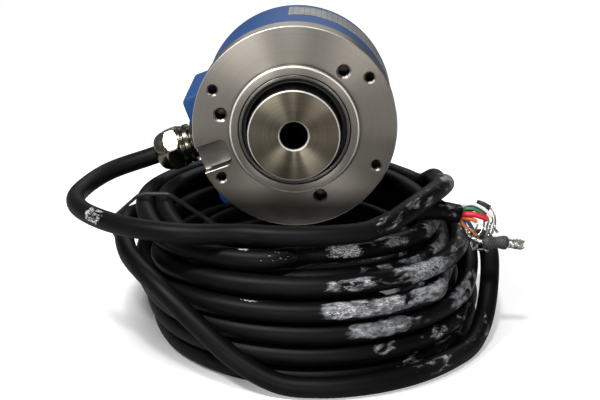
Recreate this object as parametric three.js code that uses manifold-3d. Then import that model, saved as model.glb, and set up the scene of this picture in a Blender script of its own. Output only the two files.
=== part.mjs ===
// Rotary encoder with a blind hollow shaft, a radial cable gland and its own coiled cable.
// Millimetres. The shaft's axis is Y and the mounting face looks along -Y; +X is to the right of a
// viewer at the face, +Z is up. Lengths along Y are counted from the flange's front face, and the
// whole is moved at the end, so that the origin is the centre of the blind bore's floor.
import * as THREE from "three";
import { mergeVertices } from "three/addons/utils/BufferGeometryUtils.js";
import Module from "manifold-3d";

const wasm = await Module();
wasm.setup();

// ---- driving dimensions -------------------------------------------------------------
const GAP = 0.3;                    // clearance left between neighbouring pieces
const ROLL = THREE.MathUtils.degToRad(5);   // the encoder lies rolled over by this much
const FINE = 60;                    // facets of the large turned pieces
const ROUND = 20;                   // facets of the small turned pieces

const FLANGE_R = 45;                // Ø90 mounting flange
const FLANGE_T = 12;
const RIM_CHAMFER = 0.4;
const COLLAR_R = 28.5;              // Ø57 pilot collar
const COLLAR_L = 4;
const SEAL_R = 24.6;                // pocket of the shaft seal inside the collar
const SEAL_END = 2.6;
const SEAL_CASE = { inner: 22.9, back: 21.5, step: 1.3 };
const BOSS_R = 27;                  // bearing boss behind the flange
const BOSS_END = 33;
const LARGE_HOLES = { r: 2.5, sink: 3.3, depth: 10.5, ring: 33, at: [45, 165, 285] };
const SMALL_HOLES = { r: 2.1, sink: 2.75, depth: 9.5, ring: 39.5, at: [30, 150, 210, 330] };
const SLOT = { width: 12, depth: 6.5, end: 31, at: 195, corner: 3 };

const HUB_R = 20;                   // front of the shaft, clamped by the machine
const HUB_FACE = -13.6;
const HUB_END = 1.5;
const SHAFT_R = 12.2;
const SHAFT_END = 42;
const BORE_R = 6;                   // Ø12 blind bore
const BORE_END = 34;

const BEARING = { bore: 12.5, od: 18.5, width: 7, pitch: 15.5, ball: 1.75, balls: 10 };
const FRONT_BEARING_Y = 6.6;        // middle of each bearing
const REAR_BEARING_Y = 25.6;
const LAND = 1.3;                   // height of a bearing ring beside its groove

const DISC_R = 30;
const DISC_Y = 38.4;
const DISC_T = 1;
const READER = { at: 90, front: 33.6, inner: 20, outer: 34, wide: 5 };   // light source and sensor
const BOARD_R = 37;
const BOARD_Y = 50;
const BOARD_T = 1.6;

const COVER_R = 44;
const COVER_WALL = 2.5;
const COVER_FRONT = FLANGE_T + GAP;
const COVER_END = 66;
const COVER_EDGE = 5;               // roundness of its rear edge
const SCREW_TIP = 56;
const BLOCK = { face: 44.6, half: 26.5, end: 62 };   // flat pad that carries the gland

const GLAND_AT = 195;               // direction of the gland round the axis, before the roll
const GLAND_Y = 42;
const GLAND_TIP = 70;               // distance of the gland's mouth from the axis

const GLAND = { flats: 19, thread: 8, neck: 7.4, bore: 5.4 };
const NUT_TURN = 37;                // the nuts came to rest turned by this much
const POSTS = { ring: 35, at: [30, 135, 270], r: 2.4 };   // posts that carry the board and cover
const SCREW = { shank: 1.5, head: 2.9, headHeight: 0.9, socket: 1.3 };
const LABEL = { from: 8, to: 90, y0: 34, y1: 54, thick: 0.5 };

const CORE = { count: 8, ring: 2.3, wire: 0.75, length: 17, spread: 1.2, ahead: 1.6, bend: 75 };
// The drawn-out cable shield, twisted together, and the stretch of it inside its sleeve.
const SHIELD = [
  [73, -19.5, -37.5], [75, -24.5, -41], [80, -28.5, -42], [89, -29, -42], [98, -29, -43],
];
const SHIELD_R = 1.4;
const SLEEVE = { from: 0.42, to: 0.78, outer: 2.6, inner: 1.8 };

const CABLE_R = 4.2;
const CABLE_SIDES = 6;
const COIL = { x: 3, y: 1, rearward: 5, floor: -86, rowPitch: 8.6, columnPitch: 8.8, inner: 57 };
const STEPS_PER_TURN = 32;
const COIL_START = 250;             // turn angles of the coil's two ends, in degrees
const COIL_END = 6000;
// The coil is a pile of turns. Every turn lies in a place, which is a row above the floor
// and a column outwards from the middle, and moves to the next place at a bearing seen
// from above. Each later turn moves at an earlier bearing, so a place is always empty
// before the next turn moves in.
const PLACES = [
  // [turn, bearing, row, column]
  [0, 250, 6, 1.6],
  [1, 24, 5, 2],
  [1, 272, 5, 1],
  [2, 240, 4, 1],
  [3, 208, 4, 2],
  [4, 170, 4, 3.1],
  [4, 225, 0, 3.1],
  [5, 165, 0, 2],
  [6, 140, 0, 1],
  [7, 116, 0, 0],
  [8, 92, 1, 0],
  [9, 68, 1, 1],
  [10, 44, 1, 2],
  [11, 20, 2, 2],
  [12, -4, 3, 2],
  [13, -28, 3, 1],
  [14, -52, 2, 1],
  [15, -76, 2, 0],
  [16, -100, 3.5, -1],
];
const MOVE = 36;                    // degrees that a turn takes to change place
const FALL = 2.5;                   // a turn that falls to the floor takes this many times longer
const ROW_SHIFT = [0, 0.5, 0.3, 0, -4, -8, -8];   // the pile leans inwards as it rises
const LEAN = { most: 12, row: 5 };  // the pile's left side leans outwards up to this row
const REAR_PUSH = { most: 16, above: 3.5, at: 110, reach: 105 };   // upper rows pass behind the cover
const FRONT_LIFT = { most: 0.6, at: 275, reach: 80 };              // the pile stands looser in front
const TIE_LIFT = { most: 1.8, at: 180, reach: 40 };                // the coil stands on its tie there
// Stretches, by turn angle, that rise off the pile by some rows: the first passes over the
// cable's last stretch and the second is a loose turn at the right.
const HUMPS = [
  { from: 250, to: 440, most: 1.15, at: 336, reach: 48 },
  { from: 1640, to: 1980, most: 3, at: 5, reach: 38 },
];
// Turns at the corners of the tied bundle, in order round it.
const TIE = { turns: [5, 7, 16, 2, 1, 4], slack: 1.2, thick: 1.2, width: 3, head: 5, headTall: 3 };
// The lead's loop from the gland out to the left and round to the front of the coil.
const LEAD = [
  [-88, 33, -30], [-98, 14, -33.5], [-95, -12, -32], [-82, -36, -29.8], [-64, -54, -28], [-42, -64, -27],
];
// The last stretch climbs out of the coil's middle and over its right side.
const TAIL = [
  [-8, -47, -46], [8, -45, -42], [24, -40, -38], [38, -32, -33.5], [50, -26, -30.2], [61, -21, -30.4],
  [71, -18, -33],
];

// ---- small tools --------------------------------------------------------------------
const rad = THREE.MathUtils.degToRad;
const xy = (x, y) => new THREE.Vector2(x, y);
const v3 = (x, y, z) => new THREE.Vector3(x, y, z);

// A closed three.js geometry as a solid, with its faces turned outwards.
function solid(geometry) {
  const bare = geometry.clone();
  bare.deleteAttribute("normal");
  bare.deleteAttribute("uv");
  const merged = mergeVertices(bare, 1e-4);
  const vertProperties = new Float32Array(merged.attributes.position.array);
  const index = Array.from(merged.index.array);
  const kept = [];
  for (let i = 0; i < index.length; i += 3) {
    const [a, b, c] = index.slice(i, i + 3);
    if (a !== b && b !== c && c !== a) kept.push(a, b, c);
  }
  if (signedVolume(vertProperties, kept) < 0) kept.reverse();
  const mesh = new wasm.Mesh({ numProp: 3, vertProperties, triVerts: new Uint32Array(kept) });
  return new wasm.Manifold(mesh);
}

function signedVolume(points, index) {
  const corner = (i) => new THREE.Vector3().fromArray(points, 3 * index[i]);
  let total = 0;
  for (let i = 0; i < index.length; i += 3) {
    total += corner(i).dot(corner(i + 1).cross(corner(i + 2)));
  }
  return total;
}

function geometryOf(body) {
  const mesh = body.getMesh();
  const geometry = new THREE.BufferGeometry();
  const points = new Float32Array(mesh.vertProperties);
  geometry.setAttribute("position", new THREE.BufferAttribute(points, 3));
  geometry.setIndex(new THREE.BufferAttribute(new Uint32Array(mesh.triVerts), 1));
  geometry.computeVertexNormals();
  return geometry;
}

// A profile of [radius, y] pairs turned about the Y axis.
function turned(profile, facets = ROUND) {
  const points = profile.map(([r, y]) => xy(r, y));
  const closed = profile[0][0] > 0;
  if (closed) points.push(points[0].clone());
  return solid(new THREE.LatheGeometry(points, facets));
}

function ring(rIn, rOut, y0, y1, facets = ROUND) {
  return turned([[rIn, y0], [rOut, y0], [rOut, y1], [rIn, y1]], facets);
}

function disc(r, y0, y1, facets = ROUND) {
  return turned([[0, y0], [r, y0], [r, y1], [0, y1]], facets);
}

// An outline in the XZ plane pushed along Y from y0 to y1.
function plate(points, y0, y1) {
  const shape = new THREE.Shape(points);
  const geometry = new THREE.ExtrudeGeometry(shape, { depth: y1 - y0, bevelEnabled: false });
  geometry.rotateX(Math.PI / 2);
  geometry.translate(0, y1, 0);
  return solid(geometry);
}

function box(x0, x1, y0, y1, z0, z1) {
  const geometry = new THREE.BoxGeometry(x1 - x0, y1 - y0, z1 - z0);
  geometry.translate((x0 + x1) / 2, (y0 + y1) / 2, (z0 + z1) / 2);
  return solid(geometry);
}

// Turns a body about the encoder's axis; 0 degrees is +X and 90 degrees is +Z.
const about = (body, degrees) => body.rotate([0, -degrees, 0]);

// A point on the encoder at a distance from its axis, in a direction, at a depth y.
const polar = (r, degrees, y) => v3(r * Math.cos(rad(degrees)), y, r * Math.sin(rad(degrees)));

// A turned body moved from the encoder's axis out to a parallel axis.
function beside(body, r, degrees) {
  const place = polar(r, degrees, 0);
  return body.translate([place.x, 0, place.z]);
}

// A turned body laid with its own axis pointing outwards in a direction, at a depth y.
function radially(body, degrees, y) {
  return body.rotate([0, 0, -90]).rotate([0, -degrees, 0]).translate([0, y, 0]);
}

// A round bar along a curve.
function bar(curve, radius, sides, steps) {
  const corner = (i) => xy(Math.cos((2 * Math.PI * i) / sides), Math.sin((2 * Math.PI * i) / sides));
  const outline = Array.from({ length: sides }, (_, i) => corner(i).multiplyScalar(radius));
  const shape = new THREE.Shape(outline);
  return solid(new THREE.ExtrudeGeometry(shape, { steps, bevelEnabled: false, extrudePath: curve }));
}

const smooth = (t) => THREE.MathUtils.smootherstep(t, 0, 1);

const encoder = new THREE.Group();
encoder.rotation.y = -ROLL;
const assembly = new THREE.Group();
assembly.add(encoder);

function add(group, name, body, color, roughness, metalness) {
  const material = new THREE.MeshStandardMaterial({ color, roughness, metalness });
  const mesh = new THREE.Mesh(geometryOf(body), material);
  mesh.name = name;
  group.add(mesh);
}

// ---- flange and its boss ------------------------------------------------------------
function tappedHole({ r, sink, depth }) {
  const above = 1;
  return turned([[0, -above], [sink + above, -above], [r, sink - r], [r, depth], [0, depth]], 16);
}

function slotCutter() {
  const { width, depth, end, corner } = SLOT;
  const half = width / 2;
  const beyond = FLANGE_R + 5;
  const shape = new THREE.Shape();
  shape.moveTo(beyond, -half);
  shape.lineTo(beyond, half);
  shape.lineTo(end + corner, half);
  shape.absarc(end + corner, half - corner, corner, Math.PI / 2, Math.PI, false);
  shape.absarc(end + corner, corner - half, corner, Math.PI, 1.5 * Math.PI, false);
  shape.closePath();
  return plate(shape.extractPoints(4).shape, -1, depth);
}

function makeFlange() {
  const seat = BEARING.od + GAP;
  const c = RIM_CHAMFER;
  let body = turned([
    [SEAL_R, -COLLAR_L], [COLLAR_R - 0.5, -COLLAR_L], [COLLAR_R, 0.5 - COLLAR_L], [COLLAR_R, 0],
    [FLANGE_R - c, 0], [FLANGE_R, c], [FLANGE_R, FLANGE_T - c], [FLANGE_R - c, FLANGE_T],
    [BOSS_R, FLANGE_T], [BOSS_R, BOSS_END], [seat, BOSS_END], [seat, SEAL_END],
    [SEAL_R, SEAL_END],
  ], FINE);
  for (const hole of [LARGE_HOLES, SMALL_HOLES]) {
    for (const at of hole.at) {
      body = body.subtract(beside(tappedHole(hole), hole.ring, at));
    }
  }
  return body.subtract(about(slotCutter(), SLOT.at));
}

// ---- shaft seal ---------------------------------------------------------------------
function makeSealCase() {
  const rear = SEAL_END - GAP;
  const outer = SEAL_R - GAP;
  const { inner, back, step } = SEAL_CASE;
  return turned([
    [inner, -COLLAR_L], [outer, -COLLAR_L], [outer, rear], [back, rear], [back, step], [inner, step],
  ], 40);
}

function makeSealLip() {
  const edge = HUB_R + GAP;
  const outer = SEAL_CASE.inner - GAP;
  return turned([[edge, -0.6], [edge + 1, -3.2], [outer, -3.2], [outer, 1], [edge, 0.6]], 40);
}

// ---- shaft and what turns with it ---------------------------------------------------
function makeShaft() {
  const c = 0.5;
  return turned([
    [BORE_R + c, HUB_FACE], [HUB_R - c, HUB_FACE], [HUB_R, HUB_FACE + c], [HUB_R, HUB_END],
    [SHAFT_R, HUB_END], [SHAFT_R, SHAFT_END], [0, SHAFT_END], [0, BORE_END],
    [BORE_R, BORE_END], [BORE_R, HUB_FACE + c],
  ], FINE);
}

// One ring of a ball bearing, with a groove for the balls on its inner or outer side.
function bearingRing(y, grooveOutside) {
  const half = BEARING.width / 2;
  const { bore, od, pitch, ball } = BEARING;
  const back = grooveOutside ? bore : od;
  const land = grooveOutside ? bore + LAND + 0.3 : od - LAND - 0.3;
  const reach = ball + GAP;
  const groove = grooveOutside ? pitch - reach : pitch + reach;
  return turned([
    [back, y - half], [land, y - half], [land, y - 1.8], [groove, y - 1], [groove, y + 1],
    [land, y + 1.8], [land, y + half], [back, y + half],
  ]);
}

// The balls of one bearing with the cage that carries them round.
function ballCage(y) {
  const { pitch, ball, balls } = BEARING;
  let body = ring(pitch - 0.5, pitch + 0.5, y - 0.9, y + 0.9);
  for (let i = 0; i < balls; i += 1) {
    const place = polar(pitch, (360 * i) / balls, y);
    const sphere = solid(new THREE.IcosahedronGeometry(ball, 0));
    body = body.add(sphere.translate([place.x, place.y, place.z]));
  }
  return body;
}

function makeBoard() {
  const hole = disc(4, BOARD_Y - 1, BOARD_Y + BOARD_T + 1);
  return disc(BOARD_R, BOARD_Y, BOARD_Y + BOARD_T, 48).subtract(hole);
}

// ---- cover and gland ----------------------------------------------------------------
// Outline of the gland pad, pushed along Y; it points along +X before it is turned.
function pad(u0, u1, half, corner, y0, y1) {
  const shape = new THREE.Shape();
  shape.moveTo(u0, -half);
  shape.lineTo(u0, half);
  shape.lineTo(u1 - corner, half);
  shape.absarc(u1 - corner, half - corner, corner, Math.PI / 2, 0, true);
  shape.absarc(u1 - corner, corner - half, corner, 0, -Math.PI / 2, true);
  return plate(shape.extractPoints(4).shape, y0, y1);
}

function makeCover() {
  const w = COVER_WALL;
  const edge = COVER_EDGE;
  const round = Array.from({ length: 5 }, (_, i) => {
    const a = rad((90 * i) / 4);
    return [COVER_R - edge + edge * Math.cos(a), COVER_END - edge + edge * Math.sin(a)];
  });
  const inside = COVER_R - w;
  const shell = turned([[0, COVER_FRONT], [COVER_R, COVER_FRONT], ...round, [0, COVER_END]], FINE);
  const hollow = turned([
    [0, COVER_FRONT - 1], [inside, COVER_FRONT - 1], [inside, COVER_END - w - 3],
    [inside - 3, COVER_END - w], [0, COVER_END - w],
  ], FINE);
  const block = about(pad(20, BLOCK.face, BLOCK.half, 3, COVER_FRONT, BLOCK.end), GLAND_AT);
  const inBlock = pad(18, BLOCK.face - w, BLOCK.half - w, 1.5, COVER_FRONT + w, BLOCK.end - w);
  const room = about(inBlock, GLAND_AT);
  let body = shell.add(block).subtract(hollow).subtract(room);
  body = body.subtract(radially(disc(GLAND.thread + GAP, 30, 50), GLAND_AT, GLAND_Y));
  for (const at of POSTS.at) {
    body = body.subtract(beside(disc(1.9, COVER_END - 4, COVER_END + 1, 12), POSTS.ring, at));
    const sunk = disc(SCREW.head + 0.4, COVER_END - 1.2, COVER_END + 1, 12);
    body = body.subtract(beside(sunk, POSTS.ring, at));
  }
  return body;
}

function makeLabel() {
  const arc = (r, from, to) => Array.from({ length: 13 }, (_, i) => {
    const a = rad(from + ((to - from) * i) / 12);
    return xy(r * Math.cos(a), r * Math.sin(a));
  });
  const r = COVER_R + GAP;
  const outline = [...arc(r, LABEL.from, LABEL.to), ...arc(r + LABEL.thick, LABEL.to, LABEL.from)];
  return plate(outline, LABEL.y0, LABEL.y1);
}

// A hexagonal bar along Y with its corners turned down like a nut's.
function hexBar(acrossFlats, y0, y1) {
  const r = acrossFlats / Math.sqrt(3);
  const bevel = 0.8;
  const bar6 = disc(r, y0, y1, 6);
  return bar6.intersect(turned([
    [0, y0], [r - bevel, y0], [r, y0 + bevel], [r, y1 - bevel], [r - bevel, y1], [0, y1],
  ]));
}

function makeGlandBody() {
  const { flats, thread, bore, neck } = GLAND;
  const seat = BLOCK.face + GAP;
  const body = hexBar(flats, seat, seat + 5)
    .add(disc(thread, seat - 9, seat + 1))
    .add(disc(neck, seat + 4, seat + 13));
  return body.subtract(disc(bore, 30, 62));
}

function makeGlandNut() {
  const { flats, neck, bore } = GLAND;
  const start = BLOCK.face + GAP + 8;
  const shoulder = GLAND_TIP - 7;
  const dome = turned([
    [0, shoulder - 1], [flats / 2, shoulder - 1], [flats / 2 - 0.4, shoulder + 2.5],
    [flats / 2 - 1.6, shoulder + 5], [bore + 1.2, GLAND_TIP], [0, GLAND_TIP],
  ]);
  return hexBar(flats, start, shoulder)
    .add(dome)
    .subtract(disc(neck + GAP, start - 1, start + 6.5))
    .subtract(disc(bore, start, GLAND_TIP + 1));
}

// ---- the cable's course -------------------------------------------------------------
// The most at its own bearing, falling smoothly to 0 at the reach on both sides of it.
const bump = (bearing, { most, at, reach }) => {
  const away = Math.abs(((bearing - at + 540) % 360) - 180) / reach;
  return away < 1 ? most * (1 - smooth(away)) : 0;
};

function rowShift(row) {
  const low = Math.min(Math.floor(row), ROW_SHIFT.length - 2);
  return THREE.MathUtils.lerp(ROW_SHIFT[low], ROW_SHIFT[low + 1], row - low);
}

// The row and the radius reached at a turn angle, which counts on from turn to turn.
function placeAt(turnAngle) {
  let row = PLACES[0][2];
  let radius = COIL.inner + COIL.columnPitch * PLACES[0][3] + rowShift(row);
  for (const [turn, bearing, nextRow, column] of PLACES.slice(1)) {
    const width = nextRow === 0 && row > 1 ? FALL * MOVE : MOVE;
    const t = (turnAngle - (360 * turn + bearing)) / width + 0.5;
    if (t <= 0) break;
    const nextRadius = COIL.inner + COIL.columnPitch * column + rowShift(nextRow);
    const outwards = nextRadius > radius;
    // a turn at the pile's edge steps clear of its neighbour before it changes row
    const early = smooth(Math.min(1.5 * t, 1));
    const late = smooth(Math.max(1.5 * t - 0.5, 0));
    const sideFirst = outwards === (column >= 2);
    radius = THREE.MathUtils.lerp(radius, nextRadius, sideFirst ? early : late);
    row = THREE.MathUtils.lerp(row, nextRow, sideFirst ? late : early);
  }
  return { row, radius };
}

function coilPoint(turnAngle) {
  const { row, radius } = placeAt(turnAngle);
  const angle = rad(turnAngle);
  const bearing = ((turnAngle % 360) + 360) % 360;
  const behind = Math.min(Math.max(row - REAR_PUSH.above, 0), 1);
  const r = radius + behind * bump(bearing, REAR_PUSH);
  const pitch = COIL.rowPitch + bump(bearing, FRONT_LIFT);
  const hump = HUMPS.find(({ from, to }) => turnAngle > from && turnAngle < to);
  const loose = hump ? bump(bearing, hump) : 0;
  const lean = (LEAN.most * Math.max(1 - row / LEAN.row, 0) * (1 - Math.cos(angle))) / 2;
  return v3(
    COIL.x + lean + r * Math.cos(angle),
    COIL.y + (r + COIL.rearward) * Math.sin(angle),
    COIL.floor + CABLE_R + (row + loose) * pitch + bump(bearing, TIE_LIFT),
  );
}

function cablePath() {
  const inGland = [34.5, 60, GLAND_TIP + 3];      // distances from the encoder's axis
  const tilt = (p) => p.applyAxisAngle(v3(0, 1, 0), -ROLL);
  const points = inGland.map((r) => tilt(polar(r, GLAND_AT, GLAND_Y)));
  points.push(...LEAD.map(([x, y, z]) => v3(x, y, z)));
  const step = 360 / STEPS_PER_TURN;
  for (let a = COIL_START; a <= COIL_END; a += step) points.push(coilPoint(a));
  points.push(...TAIL.map(([x, y, z]) => v3(x, y, z)));
  const curve = new THREE.CatmullRomCurve3(points, false, "centripetal");
  curve.arcLengthDivisions = 20 * points.length;
  return { curve, steps: points.length - 1 };
}

// ---- the cable's stripped end -------------------------------------------------------
// Where the stripped core runs: straight on out of the jacket, then bending down. u is
// the way along, from 0 at the jacket's end to 1 at the tips.
function corePoint(u, side, up) {
  const [x, y, z] = TAIL[TAIL.length - 1];
  const bend = rad(CORE.bend) * smooth(u);
  const along = CORE.length * u;
  const centre = v3(x + CORE.ahead + along * Math.cos(bend / 2), y, z + 1 - along * Math.sin(bend / 2));
  const reach = 1 + CORE.spread * u;
  const lift = up * reach;
  return centre.add(v3(lift * Math.sin(bend), side * reach, lift * Math.cos(bend)));
}

// The last conductor runs down the middle and the others lie in a ring round it.
function conductor(i) {
  const angle = rad((360 * i) / (CORE.count - 1) + 20);
  const ring = i === CORE.count - 1 ? 0 : CORE.ring;
  const side = ring * Math.cos(angle);
  const up = ring * Math.sin(angle);
  const points = [0, 0.3, 0.6, 0.8, 1].map((u) => corePoint(u, side, up));
  return bar(new THREE.CatmullRomCurve3(points), CORE.wire, 5, 8);
}

function shieldCurve(from, to) {
  const whole = new THREE.CatmullRomCurve3(SHIELD.map(([x, y, z]) => v3(x, y, z)));
  const count = 6;
  const share = (i) => from + ((to - from) * i) / (count - 1);
  return new THREE.CatmullRomCurve3(Array.from({ length: count }, (_, i) => whole.getPointAt(share(i))));
}

function makeSleeve() {
  const { from, to, outer, inner } = SLEEVE;
  const beyond = 0.12;
  const room = bar(shieldCurve(from - beyond, to + beyond), inner, 8, 6);
  return bar(shieldCurve(from, to), outer, 8, 4).subtract(room);
}

// Outline at a distance round centres that are the corners of a convex shape.
function outlineRound(centres, distance) {
  const count = centres.length;
  const outward = (i) => {
    const edge = centres[(i + 1) % count].clone().sub(centres[i]);
    return Math.atan2(-edge.x, edge.y);
  };
  return centres.flatMap((centre, i) => {
    const first = outward((i + count - 1) % count);
    const turn = (outward(i) - first + 4 * Math.PI) % (2 * Math.PI);
    return [0, 0.33, 0.67, 1].map((t) => {
      const a = first + turn * t;
      return centre.clone().add(xy(distance * Math.cos(a), distance * Math.sin(a)));
    });
  });
}

// A strap round the left side of the pile, seen along Y, with its head inside the coil.
function makeTie() {
  const { turns, slack, thick, width, head, headTall } = TIE;
  const centres = turns.map((turn) => {
    const p = coilPoint(360 * turn + 180);
    return xy(p.x, p.z);
  });
  const inner = CABLE_R + slack;
  const band = plate(outlineRound(centres, inner + thick), COIL.y - width / 2, COIL.y + width / 2);
  const strap = band.subtract(plate(outlineRound(centres, inner), COIL.y - width, COIL.y + width));
  const side = centres[1].clone().add(centres[2]).multiplyScalar(0.5);
  const x = side.x + inner + thick / 2;
  const half = head / 2;
  return strap.add(box(x, x + headTall, COIL.y - half, COIL.y + half, side.y - half, side.y + half));
}

// ---- assembly -----------------------------------------------------------------------
const METAL = [0.35, 1.0];            // roughness and metalness
const RUBBER = [0.85, 0];
const SATIN = [0.5, 0];
const GLASS = [0.1, 0];
const NICKEL = [0.25, 1];
const STEEL = 0xb5b5b5;
const BRASS = 0xb08d57;
const half = BEARING.width / 2;

add(encoder, "flange", makeFlange(), 0x9d968c, ...METAL);
add(encoder, "shaft", makeShaft(), 0xa39c93, ...METAL);
add(encoder, "seal_case", makeSealCase(), 0x8a8a88, ...METAL);
add(encoder, "seal_lip", makeSealLip(), 0x151515, ...RUBBER);

for (const [side, y] of [["front", FRONT_BEARING_Y], ["rear", REAR_BEARING_Y]]) {
  add(encoder, `${side}_bearing_outer_ring`, bearingRing(y, false), STEEL, ...METAL);
  add(encoder, `${side}_bearing_inner_ring`, bearingRing(y, true), STEEL, ...METAL);
  add(encoder, `${side}_bearing_balls`, ballCage(y), 0xc8c8c8, ...METAL);
}
const { bore, od } = BEARING;
const between = [FRONT_BEARING_Y + half + GAP, REAR_BEARING_Y - half - GAP];
const behind = REAR_BEARING_Y + half + GAP;
add(encoder, "inner_spacer", ring(bore, bore + LAND, ...between), 0xa0a0a0, ...METAL);
add(encoder, "outer_spacer", ring(od - LAND, od, ...between), 0xa0a0a0, ...METAL);
add(encoder, "bearing_lock_ring", ring(od - 1.6, od, behind, behind + 2.6), 0x8d8d8d, ...METAL);
add(encoder, "shaft_circlip", ring(bore, bore + 1.5, behind, behind + 1.2), 0x404040, ...METAL);

const discFront = DISC_Y - GAP;
const discRear = DISC_Y + DISC_T + GAP;
const discHub = turned([
  [bore, 34], [14.5, 34], [14.5, 36], [17, 36], [17, discFront], [bore, discFront],
]);
add(encoder, "disc_hub", discHub, BRASS, ...METAL);
add(encoder, "code_disc", ring(bore, DISC_R, DISC_Y, DISC_Y + DISC_T, 36), 0x93a7a5, ...GLASS);
add(encoder, "disc_clamp", ring(bore, 16, discRear, discRear + 1.7), BRASS, ...METAL);

const boardFront = BOARD_Y - GAP;
const { front, inner: armInner, outer: armOuter, wide } = READER;
const ledArm = box(DISC_R + 1.4, armOuter, front, boardFront, -wide, wide)
  .add(box(armInner, armOuter, front, DISC_Y - 0.8, -wide, wide));
const reticle = box(armInner + 1, DISC_R, discRear + 0.7, discRear + 1.9, 1 - wide, wide - 1);
const chip = box(armInner + 1, DISC_R, discRear + 2.2, boardFront, 1 - wide, wide - 1);
add(encoder, "led_block", about(ledArm, READER.at), 0x1c1c1c, ...SATIN);
add(encoder, "reticle", about(reticle, READER.at), 0x9fb4b0, ...GLASS);
add(encoder, "sensor_chip", about(chip, READER.at), 0x202020, ...SATIN);
add(encoder, "circuit_board", makeBoard(), 0x1f5c34, ...SATIN);
add(encoder, "board_connector", about(box(19, 28, 44, boardFront, -6, 6), GLAND_AT), 0xd8d2c0, ...SATIN);

add(encoder, "cover", makeCover(), 0x274a93, 0.45, 0.1);
add(encoder, "label_plate", makeLabel(), 0xb9bcc0, 0.4, 0.6);
add(encoder, "cover_seal", ring(38, 40, COVER_FRONT, FLANGE_T + 2, 36), 0x111111, ...RUBBER);
POSTS.at.forEach((at, i) => {
  const n = i + 1;
  const place = (body) => beside(body, POSTS.ring, at);
  const rear = BOARD_Y + BOARD_T + GAP;
  const postEnd = COVER_END - COVER_WALL - GAP;
  const hole = disc(SCREW.shank + GAP, SCREW_TIP - 1, COVER_END, 12);
  const head = disc(SCREW.head, COVER_END - SCREW.headHeight, COVER_END + SCREW.headHeight, 12);
  const screw = disc(SCREW.shank, SCREW_TIP, COVER_END, 12).add(head);
  const socket = disc(SCREW.socket, COVER_END, COVER_END + 2, 6);
  const standoff = disc(POSTS.r, COVER_FRONT, boardFront, 12);
  add(encoder, `standoff_${n}`, place(standoff), BRASS, ...METAL);
  add(encoder, `cover_post_${n}`, place(disc(POSTS.r, rear, postEnd, 12).subtract(hole)), BRASS, ...METAL);
  add(encoder, `cover_screw_${n}`, place(screw.subtract(socket)), 0x8f8f8f, ...METAL);
});

// The gland's parts are made along Y, turned to where their flats lie and then laid outwards.
const onGland = (body) => radially(about(body, NUT_TURN), GLAND_AT, GLAND_Y);
const { face } = BLOCK;
const lockNut = hexBar(21, face - 6.4, face - COVER_WALL - GAP).subtract(disc(GLAND.thread + GAP, 30, 50));
const insert = ring(CABLE_R + GAP, GLAND.bore - GAP, face + 10, GLAND_TIP - 1);
add(encoder, "gland_body", onGland(makeGlandBody()), 0xb3a77f, ...NICKEL);
add(encoder, "gland_nut", onGland(makeGlandNut()), 0xb3a77f, ...NICKEL);
add(encoder, "gland_lock_nut", onGland(lockNut), 0xb3a77f, ...NICKEL);
add(encoder, "gland_insert", onGland(insert), 0x1a1a1a, ...RUBBER);

const { curve, steps } = cablePath();
add(assembly, "cable_jacket", bar(curve, CABLE_R, CABLE_SIDES, steps), 0x17171a, 0.45, 0);

const INSULATION = [0xe6e4de, 0x2c6b3c, 0x6a3d8f, 0xc62026, 0xd9681c, 0x7a4a24, 0x2f4f9a, 0x222226];
INSULATION.forEach((color, i) => add(assembly, `conductor_${i + 1}`, conductor(i), color, 0.45, 0));
add(assembly, "shield_braid", bar(shieldCurve(0, 1), SHIELD_R, 6, 10), 0x9c9a94, 0.4, 0.8);
add(assembly, "shield_sleeve", makeSleeve(), 0x141414, ...SATIN);
add(assembly, "coil_tie", makeTie(), 0x101010, ...SATIN);

assembly.position.y = -BORE_END;

export default assembly;
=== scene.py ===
"""Looks of a rotary encoder with a blind hollow shaft, a cable gland and its own coiled cable.

Lengths are in millimetres and turned into metres when a mesh is made. The encoder's axis is
Y through the origin, its mounting face looks along -Y, +X is to the right and +Z is up.
Lengths along Y are counted from the flange's front face; the frame's own origin is the centre
of the blind bore's floor, and the difference is made up when sizes come in and meshes go out.
"""

import math
import random

import bpy
import bmesh
import numpy as np
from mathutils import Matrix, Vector


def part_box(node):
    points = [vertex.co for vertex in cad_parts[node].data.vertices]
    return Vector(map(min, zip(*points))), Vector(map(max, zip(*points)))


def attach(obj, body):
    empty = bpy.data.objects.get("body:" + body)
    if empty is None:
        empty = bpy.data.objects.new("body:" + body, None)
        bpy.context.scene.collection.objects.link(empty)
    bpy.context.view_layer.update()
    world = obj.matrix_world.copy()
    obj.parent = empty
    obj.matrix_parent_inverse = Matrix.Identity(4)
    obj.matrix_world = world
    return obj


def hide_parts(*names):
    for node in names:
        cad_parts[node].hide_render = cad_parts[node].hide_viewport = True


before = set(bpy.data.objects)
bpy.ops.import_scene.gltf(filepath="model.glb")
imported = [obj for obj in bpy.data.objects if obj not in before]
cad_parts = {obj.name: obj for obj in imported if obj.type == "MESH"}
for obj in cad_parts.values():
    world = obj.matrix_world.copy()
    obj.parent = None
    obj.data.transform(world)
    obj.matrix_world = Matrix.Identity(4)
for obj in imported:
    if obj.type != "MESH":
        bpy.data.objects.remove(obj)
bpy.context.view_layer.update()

MM = 0.001
TAU = 2 * math.pi
rad = math.radians


# ---- sizes worked out from the frame ---------------------------------------------------
BORE_END = 34
TO_ORIGIN = np.array([0, BORE_END, 0])


def size_of(node):
    """(lowest corner, highest corner) of a CAD node in millimetres."""
    low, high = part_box(node)
    return np.array(low) / MM + TO_ORIGIN, np.array(high) / MM + TO_ORIGIN


FLANGE_LOW, FLANGE_HIGH = size_of("flange")
COVER_LOW, COVER_HIGH = size_of("cover")
SHAFT_LOW, SHAFT_HIGH = size_of("shaft")
GLAND_LOW, GLAND_HIGH = size_of("gland_nut")

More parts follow.
